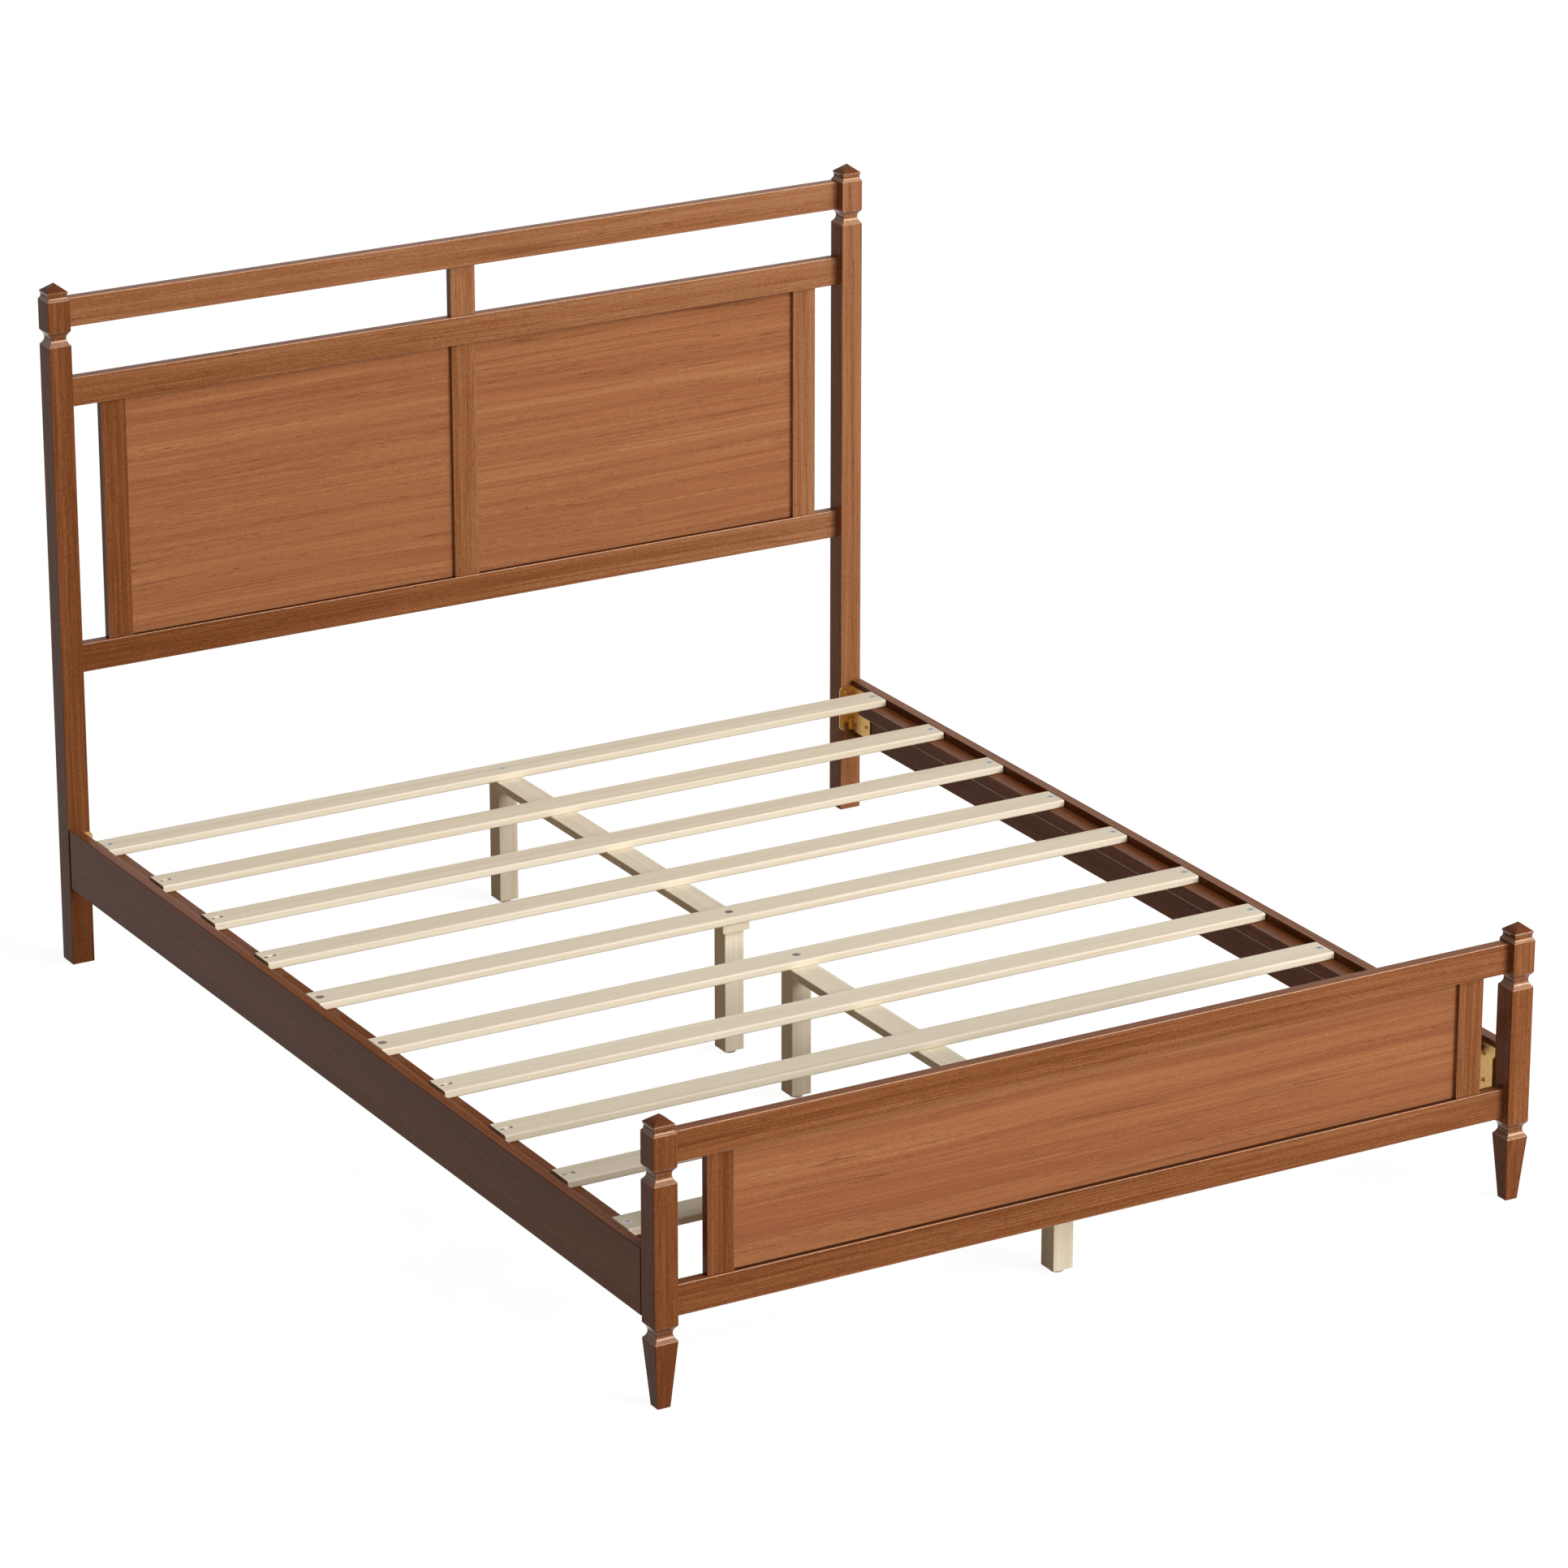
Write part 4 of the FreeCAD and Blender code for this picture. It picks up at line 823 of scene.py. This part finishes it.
def cap_stations(sizes, half, top):
    """The block's upper edge, the hollow, the rim and the eaves of the pyramid."""
    edge = half - sizes.cap_setback
    eaves = top - sizes.cap_height
    rim_bottom = eaves - sizes.cap_rim
    block_top = (rim_bottom - sizes.cap_cove_height, half, True)
    rim = (rim_bottom, edge, True)
    return [
        block_top,
        *hollow(block_top, rim, sizes.cap_cove_radius),
        rim,
        (eaves, edge, True),
    ]


def post(sizes, board, side):
    node = f"{board}_post_{side}"
    low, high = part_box(node)
    half = (high.x - low.x) / 2
    top = high.z
    cap = sizes.cap_height + sizes.cap_rim + sizes.cap_cove_height
    base = sizes.toe_width / 2 if board == "footboard" else half
    bm = bmesh.new()
    face = square_face(bm, base - sizes.end_edge, sizes.post_corner)
    stations = [(sizes.end_edge, base, False)]
    if board == "footboard":
        stations += neck_stations(sizes, half, sizes.foot_neck_top)
    stations += neck_stations(sizes, half, top - cap - sizes.block_height)
    stations += cap_stations(sizes, half, top)
    eaves = stations[-1][0]
    face, arrises = drawn_up(bm, face, stations)
    tip = drawn_out(bm, face, shift_along(Z, top - eaves))
    bmesh.ops.pointmerge(bm, verts=list(tip.verts), merge_co=(0.0, 0.0, top))
    soften(bm, [edge for edge in arrises if edge.is_valid], sizes.post_arris, 1)
    bmesh.ops.recalc_face_normals(bm, faces=bm.faces)
    for face in bm.faces:
        if MOULDED < abs(face.normal.z) < SQUARE and face.calc_center_median().z < eaves:
            face.material_index = EDGE
    middle = (low + high) / 2
    bmesh.ops.translate(bm, vec=(middle.x, middle.y, 0.0), verts=bm.verts)
    inward, inner = (1, high.x) if side == "left" else (-1, low.x)
    play = sizes.joint_play
    thick = sizes.tenon_thickness / 2 + play
    shoulder = sizes.tenon_shoulder - play
    for level in BOARD_RAILS[board]:
        rail_low, rail_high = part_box(f"{board}_{level}_rail")
        rail_y = (rail_low.y + rail_high.y) / 2
        pocket(
            bm, X, inward,
            Vector((inner, rail_y - thick, rail_low.z + shoulder)),
            Vector((inner, rail_y + thick, rail_high.z - shoulder)),
            sizes.tenon_length + play)
    dress_walnut(bm, node, Z, edges="walnut_moulding")


class PLATFORM_BED_OT_posts(bpy.types.Operator):
    """Build the four posts, those of the footboard with tapered feet"""

    bl_idname = "platform_bed.posts"
    bl_label = "Posts"

    def execute(self, context):
        sizes = context.scene.platform_bed_sizes
        for board in BOARD_RAILS:
            for side in SIDES:
                post(sizes, board, side)
        return {"FINISHED"}


# Boards between the posts


def seats_in(rail_board, rail_level, members):
    """The members that stand on a rail (edge 1) or hang under it (edge -1)."""
    for node, (board, below, above) in members.items():
        if board == rail_board and rail_level in (below, above):
            yield node, 1 if rail_level == below else -1


def board_rail(sizes, board, level):
    node = f"{board}_{level}_rail"
    low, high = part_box(node)
    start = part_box("headboard_post_left")[1].x
    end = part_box("headboard_post_right")[0].x
    bm = plank((start, low.y, low.z), (end, high.y, high.z), X, sizes.rail_edge)
    play = sizes.joint_play
    half = sizes.stile_tenon_thickness / 2 + play
    shoulder = sizes.tenon_shoulder - play
    corners = []
    for stile, edge in seats_in(board, level, STILES):
        stile_low, stile_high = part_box(stile)
        at = high.z if edge > 0 else low.z
        middle = (stile_low.y + stile_high.y) / 2
        pocket(
            bm, Z, edge,
            Vector((stile_low.x + shoulder, middle - half, at)),
            Vector((stile_high.x - shoulder, middle + half, at)),
            sizes.stile_tenon_length + play)
    for panel, edge in seats_in(board, level, PANELS):
        panel_low, panel_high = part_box(panel)
        at = high.z if edge > 0 else low.z
        tongue = at - panel_low.z if edge > 0 else panel_high.z - at
        pocket(
            bm, Z, edge,
            Vector((panel_low.x - play, panel_low.y - play, at)),
            Vector((panel_high.x + play, panel_high.y + play, at)),
            tongue + play)
        if edge > 0:
            gap_low = Vector((panel_low.x + tongue, low.y + sizes.gap_lip, at))
            gap_high = Vector((panel_high.x - tongue, panel_low.y - play * 2, at))
            pocket(bm, Z, edge, gap_low, gap_high, sizes.gap_depth)
            # Painted shade, darkest, on the corner in front of the panel's foot
            corners.append((gap_low - shift_along(Z, sizes.gap_depth * 2), gap_high, PAINTED_SHADE_CORNER))
    width = high.z - low.z - sizes.tenon_shoulder * 2
    tenons(bm, X, sizes.tenon_length, sizes.tenon_thickness, width)
    dress_walnut(bm, node, X, corners=corners)


class PLATFORM_BED_OT_board_rails(bpy.types.Operator):
    """Build the rails of both boards, tenoned at their ends and grooved for the panels"""

    bl_idname = "platform_bed.board_rails"
    bl_label = "Board rails"

    def execute(self, context):
        sizes = context.scene.platform_bed_sizes
        for board, levels in BOARD_RAILS.items():
            for level in levels:
                board_rail(sizes, board, level)
        return {"FINISHED"}


class PLATFORM_BED_OT_stiles(bpy.types.Operator):
    """Build the upright stiles and the mullion, grooved where a panel stands beside them"""

    bl_idname = "platform_bed.stiles"
    bl_label = "Stiles"

    def execute(self, context):
        sizes = context.scene.platform_bed_sizes
        play = sizes.joint_play
        for node, field in STILES.items():
            board, below, above = field
            low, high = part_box(node)
            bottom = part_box(f"{board}_{below}_rail")[1].z
            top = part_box(f"{board}_{above}_rail")[0].z
            bm = plank((low.x, low.y, bottom), (high.x, high.y, top), Z,
                       sizes.stile_edge, sizes.end_edge)
            for panel in (panel for panel, place in PANELS.items() if place == field):
                panel_low, panel_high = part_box(panel)
                for sign, face, tongue in (
                    (-1, low.x, panel_high.x), (1, high.x, panel_low.x)
                ):
                    if low.x < tongue < high.x:
                        pocket(
                            bm, X, sign,
                            Vector((face, panel_low.y - play, bottom)),
                            Vector((face, panel_high.y + play, top)),
                            abs(tongue - face) + play)
            width = high.x - low.x - sizes.tenon_shoulder * 2
            tenons(bm, Z, sizes.stile_tenon_length, sizes.stile_tenon_thickness, width)
            dress_walnut(bm, node, Z)
        return {"FINISHED"}


class PLATFORM_BED_OT_panels(bpy.types.Operator):
    """Build the three thin panels that stand in the grooves"""

    bl_idname = "platform_bed.panels"
    bl_label = "Panels"

    def execute(self, context):
        sizes = context.scene.platform_bed_sizes
        for node in PANELS:
            bm = plank(*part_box(node), X, sizes.panel_edge, sizes.panel_edge)
            dress(finished(bm, node), node, "walnut_panel", X)
        return {"FINISHED"}


# Side rails, cleats and slats


class PLATFORM_BED_OT_side_rails(bpy.types.Operator):
    """Build the two long side rails"""

    bl_idname = "platform_bed.side_rails"
    bl_label = "Side rails"

    def execute(self, context):
        sizes = context.scene.platform_bed_sizes
        for side in SIDES:
            node = f"side_rail_{side}"
            low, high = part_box(node)
            wide, tall = high.x - low.x, high.z - low.z
            bevel = shift_along(Y, sizes.side_rail_end)
            bm = plank(low + bevel, high - bevel, Y, sizes.side_rail_edge)
            for sign in (-1, 1):
                face = drawn_out(bm, end_face(bm, Y, sign), bevel * sign)
                resized(bm, face, (1 - 2 * sizes.side_rail_end_depth / wide, 1.0,
                                   1 - 2 * sizes.side_rail_end_depth / tall))
            run = shift_along(Y, high.y - low.y - sizes.side_rail_end)
            outer_low, outer_high = low.copy(), high.copy()
            inner_low, inner_high = low.copy(), high.copy()
            if side == "left":
                outer_low.x, outer_high.x = low.x + NEAR, high.x - wide / 2 - NEAR
                inner_low.x = inner_high.x
            else:
                outer_low.x, outer_high.x = low.x + wide / 2 + NEAR, high.x - NEAR
                inner_high.x = inner_low.x
            # Painted shade: the inner face and the outer rounded edges are painted darker, and
            # the bevels round the ends darkest, for the shade in the joint with the posts
            dress_walnut(bm, node, Y, corners=[
                (inner_low, inner_high, PAINTED_SHADE_INNER),
                (outer_low, outer_high, PAINTED_SHADE_EDGE),
                (low, high - run, PAINTED_SHADE_CORNER), (low + run, high, PAINTED_SHADE_CORNER),
            ])
        return {"FINISHED"}


class PLATFORM_BED_OT_cleats(bpy.types.Operator):
    """Build the cleats on the side rails that carry the slats"""

    bl_idname = "platform_bed.cleats"
    bl_label = "Cleats"

    def execute(self, context):
        sizes = context.scene.platform_bed_sizes
        for side in SIDES:
            node = f"cleat_{side}"
            dress_walnut(plank(*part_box(node), Y, sizes.cleat_edge, sizes.end_edge), node, Y)
        return {"FINISHED"}


def screws_in(sizes, slat):
    """Place across the bed and kind of each screw in a slat."""
    inner_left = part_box("side_rail_left")[1].x
    inner_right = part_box("side_rail_right")[0].x
    yield inner_right - sizes.screw_inset, "end"
    if slat in LEG_SLATS:
        yield inner_left + sizes.screw_inset, "end"
        yield 0.0, "centre"
    else:
        yield inner_left + sizes.slot_screw_inset, "slot"


def shank_radius(sizes, kind):
    return (sizes.centre_screw_shank if kind == "centre" else sizes.screw_shank) / 2


def countersunk_cutter(sizes, shank, at, reach):
    """The hole that a flush screw sits in, down through a slat."""
    head = sizes.screw_head / 2 + sizes.joint_play
    bore = shank + sizes.joint_play
    return turned([
        (at.z - reach, bore),
        (at.z - sizes.screw_head_height, bore),
        (at.z, head),
        (at.z + reach, head),
    ], at)


def slot_cutter(width, start, end, low, high, middle):
    """A slot with round ends between two X places, from low to high."""
    half = width / 2
    bm = box_mesh((start - half, middle - half, low), (end + half, middle + half, high))
    soften(bm, edges_along(bm, Z), half - NEAR, COVE_STEPS)
    return bm


class PLATFORM_BED_OT_slats(bpy.types.Operator):
    """Build the ten slats with their screw holes and stepped slots"""

    bl_idname = "platform_bed.slats"
    bl_label = "Slats"

    def execute(self, context):
        sizes = context.scene.platform_bed_sizes
        for node in SLATS:
            low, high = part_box(node)
            middle = (low.y + high.y) / 2
            thickness = high.z - low.z
            floor = high.z - sizes.slot_depth
            piece = finished(plank(low, high, X, sizes.slat_edge, sizes.end_edge), node)
            cutters = []
            for x, kind in screws_in(sizes, node):
                if kind == "slot":
                    inner = x + sizes.slot_run
                    cutters.append(slot_cutter(
                        sizes.slot_width, x, inner, floor, high.z + thickness, middle))
                    cutters.append(slot_cutter(
                        sizes.shank_slot_width, low.x - thickness, inner,
                        low.z - thickness, floor + NEAR, middle))
                else:
                    at = Vector((x, middle, high.z))
                    cutters.append(countersunk_cutter(
                        sizes, shank_radius(sizes, kind), at, thickness * 2))
            carve(piece, cutters)
            dress_pale(piece, node, X)
        return {"FINISHED"}


# Centre support


class PLATFORM_BED_OT_centre_rails(bpy.types.Operator):
    """Build the two flat rails under the middle of the slats"""

    bl_idname = "platform_bed.centre_rails"
    bl_label = "Centre rails"

    def execute(self, context):
        sizes = context.scene.platform_bed_sizes
        for end in ENDS:
            node = f"centre_rail_{end}"
            bm = plank(*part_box(node), Y, sizes.centre_edge, sizes.end_edge)
            dress_pale(finished(bm, node), node, Y)
        return {"FINISHED"}


class PLATFORM_BED_OT_centre_legs(bpy.types.Operator):
    """Build the four square legs, bored for the levelling feet"""

    bl_idname = "platform_bed.centre_legs"
    bl_label = "Centre legs"

    def execute(self, context):
        sizes = context.scene.platform_bed_sizes
        play = sizes.joint_play
        sleeve = sizes.foot_bore / 2 + play
        stud = sizes.foot_stud / 2 + play
        for node, foot in zip(LEGS, FEET):
            low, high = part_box(node)
            piece = finished(plank(low, high, Z, sizes.centre_edge, sizes.end_edge), node)
            bore_top = low.z + sizes.foot_bore_depth
            carve(piece, [turned([
                (low.z - sizes.foot_bore_depth, sleeve),
                (bore_top, sleeve),
                (bore_top, stud),
                (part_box(foot)[1].z + play, stud),
            ], (low + high) / 2)])
            dress_pale(piece, node, Z)
        return {"FINISHED"}


class PLATFORM_BED_OT_levelling_feet(bpy.types.Operator):
    """Build the round levelling feet, each on its own body"""

    bl_idname = "platform_bed.levelling_feet"
    bl_label = "Levelling feet"

    def execute(self, context):
        sizes = context.scene.platform_bed_sizes
        disc, stud, soft = sizes.foot_disc / 2, sizes.foot_stud / 2, sizes.end_edge
        rim = [(rise * soft, disc - setback * soft) for rise, setback in FOOT_RIM]
        for node in FEET:
            low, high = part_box(node)
            top = low.z + sizes.foot_disc_height
            bm = turned([
                *((low.z + rise, radius) for rise, radius in rim),
                *((top - rise, radius) for rise, radius in reversed(rim)),
                (top, stud),
                (high.z - soft, stud),
                (high.z, stud - soft),
            ], (low + high) / 2)
            dress(finished(bm, node), node, "foot_plastic", body=node)
        return {"FINISHED"}


# Fittings


def cross_recess(bm, at, span, arm, depth):
    """Sink a cross into the flat top of a screw head."""
    faces = [end_face(bm, Z, 1)]
    for axis in (X, Y):
        for reach in (-span / 2, -arm / 2, arm / 2, span / 2):
            faces = split(bm, faces, axis, at[axis] + reach)
    inside = []
    for face in faces:
        off = face.calc_center_bounds() - at
        reach = sorted((abs(off.x), abs(off.y)))
        if reach[0] < arm / 2 and reach[1] < span / 2:
            inside.append(face)
    sink(bm, inside, shift_along(Z, -depth))


def flush_head(sizes, shank, top):
    """Diameter and stations of a countersunk head whose top is at a height."""
    soft = sizes.post_arris / 2
    head = sizes.screw_head / 2
    return sizes.screw_head, [
        (top - sizes.screw_head_height, shank),
        (top - soft, head),
        (top, head - soft),
    ]


def seated_head(sizes, shank, seat):
    """Diameter and stations of a flat head that stands on a slot's step."""
    soft = sizes.post_arris
    head = sizes.slot_screw_head / 2
    top = seat + sizes.slot_screw_head_height
    return sizes.slot_screw_head, [
        (seat, shank),
        (seat, head - soft / 2),
        (seat + soft / 2, head),
        (top - soft * 2, head),
        (top - soft / 2, head - soft),
        (top, head - soft * 3),
    ]


def slat_screw(sizes, kind, at, tip):
    """A screw with a cross recess, from its tip up to its head."""
    shank = shank_radius(sizes, kind)
    if kind == "slot":
        width, head = seated_head(sizes, shank, at.z - sizes.slot_depth)
    else:
        width, head = flush_head(sizes, shank, at.z)
    bm = turned([(tip, shank * TIP_SHARE), (tip + shank * 2, shank), *head], at)
    cross_recess(bm, at, width * RECESS_SPAN_SHARE, sizes.recess_arm, sizes.recess_depth)
    return bm


def gathered(meshes):
    """Several small bmeshes as one."""
    whole = bmesh.new()
    for bm in meshes:
        part = bpy.data.meshes.new("part")
        bm.to_mesh(part)
        bm.free()
        whole.from_mesh(part)
        bpy.data.meshes.remove(part)
    return whole


class PLATFORM_BED_OT_slat_screws(bpy.types.Operator):
    """Build the screws in the slats: flush at the ends and the middle, seated in the slots"""

    bl_idname = "platform_bed.slat_screws"
    bl_label = "Slat screws"

    def execute(self, context):
        sizes = context.scene.platform_bed_sizes
        screws = {kind: [] for kind in SCREW_GROUPS}
        for slat in SLATS:
            low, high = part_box(slat)
            for x, kind in screws_in(sizes, slat):
                at = Vector((x, (low.y + high.y) / 2, high.z))
                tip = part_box(SCREW_GROUPS[kind])[0].z
                screws[kind].append(slat_screw(sizes, kind, at, tip))
        for kind, node in SCREW_GROUPS.items():
            dress(finished(gathered(screws[kind]), node), node, "zinc_plate")
        return {"FINISHED"}


class PLATFORM_BED_OT_fittings(bpy.types.Operator):
    """Give the brackets with their pins and screws, the inserts and the dowels their finishes"""

    bl_idname = "platform_bed.fittings"
    bl_label = "Fittings"

    def execute(self, context):
        for name, nodes in FITTING_FINISHES.items():
            for node in nodes:
                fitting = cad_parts[node]
                if not fitting.material_slots:
                    fitting.data.materials.append(None)
                for material_slot in fitting.material_slots:
                    material_slot.material = finish_for(name)
        return {"FINISHED"}


# Stage


FLOOR_HALF = 30.0
# The floor glows to the camera from the first strength to the second between these distances
FLOOR_FADE = (3.0, 12.0, 0.93, 1.0)
FLOOR_SHADE = (0.18, 0.18, 0.18, 1.0)
# Colour of the floor and of the surroundings in the light that they give to the bed
FLOOR_BOUNCE = (0.50, 0.42, 0.34, 1.0)
FILL_TONE = (1.0, 0.76, 0.56, 1.0)
# Place and size of the soft lights, and the point that they face
LIGHTS = {
    "key": ((6.1, -11.0, 14.4), (19.0, 19.0)),
    "front": ((9.0, -15.4, 5.9), (8.0, 3.7)),
}
LIGHT_AIM = (0.0, 0.0, 0.5)
SENSOR_WIDTH = 36.0
FARTHEST = 200.0


def floor_material():
    """A pale floor that looks white to the camera and still shows the bed's shadow."""
    floor = Nodes(bpy.data.materials.new("studio_floor"))
    place = floor.node("ShaderNodeTexCoord").outputs["Object"]
    distance = floor.node("ShaderNodeVectorMath", {0: place}, operation="LENGTH")
    strength = floor.ranged(distance.outputs["Value"], *FLOOR_FADE)
    glow = floor.node("ShaderNodeEmission", {"Strength": strength})
    shade = floor.node("ShaderNodeBsdfDiffuse", {"Color": FLOOR_SHADE})
    seen = floor.node("ShaderNodeAddShader", {0: shade.outputs[0], 1: glow.outputs[0]})
    bounce = floor.node("ShaderNodeBsdfDiffuse", {"Color": FLOOR_BOUNCE})
    return floor.backdrop("ShaderNodeOutputMaterial", bounce, seen)


def surroundings(strength):
    """A world that is white to look at and lights the bed weakly."""
    world = Nodes(bpy.data.worlds.new("studio"))
    fill = world.node("ShaderNodeBackground", {"Color": FILL_TONE, "Strength": strength})
    white = world.node("ShaderNodeBackground", {"Color": WHITE, "Strength": 1.0})
    return world.backdrop("ShaderNodeOutputWorld", fill, white)


def set_up(name, data, place, towards):
    """Put a light or a camera in the scene, looking along a direction."""
    thing = bpy.data.objects.new(name, data)
    thing.location = place
    thing.rotation_mode = "QUATERNION"
    thing.rotation_quaternion = towards.to_track_quat("-Z", "Y")
    bpy.context.scene.collection.objects.link(thing)
    return thing


class PLATFORM_BED_OT_stage(bpy.types.Operator):
    """Set up the floor, the lights, the background and the camera"""

    bl_idname = "platform_bed.stage"
    bl_label = "Stage"

    def execute(self, context):
        scene = context.scene
        stage = scene.platform_bed_stage
        bm = bmesh.new()
        bmesh.ops.create_grid(bm, x_segments=1, y_segments=1, size=FLOOR_HALF)
        floor = to_object(bm, "studio_floor")
        floor.data.materials.append(floor_material())

        for name, (place, size) in LIGHTS.items():
            light = bpy.data.lights.new(f"{name}_light", "AREA")
            light.shape = "RECTANGLE"
            light.size, light.size_y = size
            light.energy = getattr(stage, name)
            set_up(light.name, light, place, Vector(LIGHT_AIM) - Vector(place))
        scene.world = surroundings(stage.fill)
        scene.view_settings.view_transform = "Standard"

        turn, rise = stage.azimuth, stage.elevation
        back = Vector((math.sin(turn) * math.cos(rise), -math.cos(turn) * math.cos(rise),
                       math.sin(rise)))
        right = Vector((math.cos(turn), math.sin(turn), 0.0))
        up = back.cross(right)
        aim = shift_along(Z, stage.aim_height) + right * stage.aim_right + up * stage.aim_up
        lens = bpy.data.cameras.new("camera")
        lens.lens = stage.lens
        lens.sensor_width = SENSOR_WIDTH
        lens.clip_end = FARTHEST
        scene.camera = set_up("camera", lens, aim + back * stage.distance, -back)
        return {"FINISHED"}


# Add-on


OPERATORS = (
    PLATFORM_BED_OT_posts,
    PLATFORM_BED_OT_board_rails,
    PLATFORM_BED_OT_stiles,
    PLATFORM_BED_OT_panels,
    PLATFORM_BED_OT_side_rails,
    PLATFORM_BED_OT_cleats,
    PLATFORM_BED_OT_slats,
    PLATFORM_BED_OT_centre_rails,
    PLATFORM_BED_OT_centre_legs,
    PLATFORM_BED_OT_levelling_feet,
    PLATFORM_BED_OT_slat_screws,
    PLATFORM_BED_OT_fittings,
    PLATFORM_BED_OT_stage,
)
GROUPS = {
    "platform_bed_sizes": PlatformBedSizes,
    "platform_bed_finishes": PlatformBedFinishes,
    "platform_bed_stage": PlatformBedStage,
}


class PLATFORM_BED_PT_panel(bpy.types.Panel):
    """Lists the bed's pieces and settings"""

    bl_idname = "PLATFORM_BED_PT_panel"
    bl_label = "Platform bed"
    bl_space_type = "VIEW_3D"
    bl_region_type = "UI"
    bl_category = "Platform bed"

    def draw(self, context):
        for operator in OPERATORS:
            self.layout.operator(operator.bl_idname)
        for group in GROUPS:
            box = self.layout.box()
            settings = getattr(context.scene, group)
            for name in settings.bl_rna.properties.keys():
                if name not in ("rna_type", "name"):
                    box.prop(settings, name)


CLASSES = (*GROUPS.values(), *OPERATORS, PLATFORM_BED_PT_panel)


def register():
    for cls in CLASSES:
        bpy.utils.register_class(cls)
    for name, group in GROUPS.items():
        setattr(bpy.types.Scene, name, bpy.props.PointerProperty(type=group))


def unregister():
    for name in GROUPS:
        delattr(bpy.types.Scene, name)
    for cls in reversed(CLASSES):
        bpy.utils.unregister_class(cls)


def main():
    register()
    for operator in OPERATORS:
        group, name = operator.bl_idname.split(".")
        getattr(getattr(bpy.ops, group), name)()


if __name__ == "__main__":
    main()
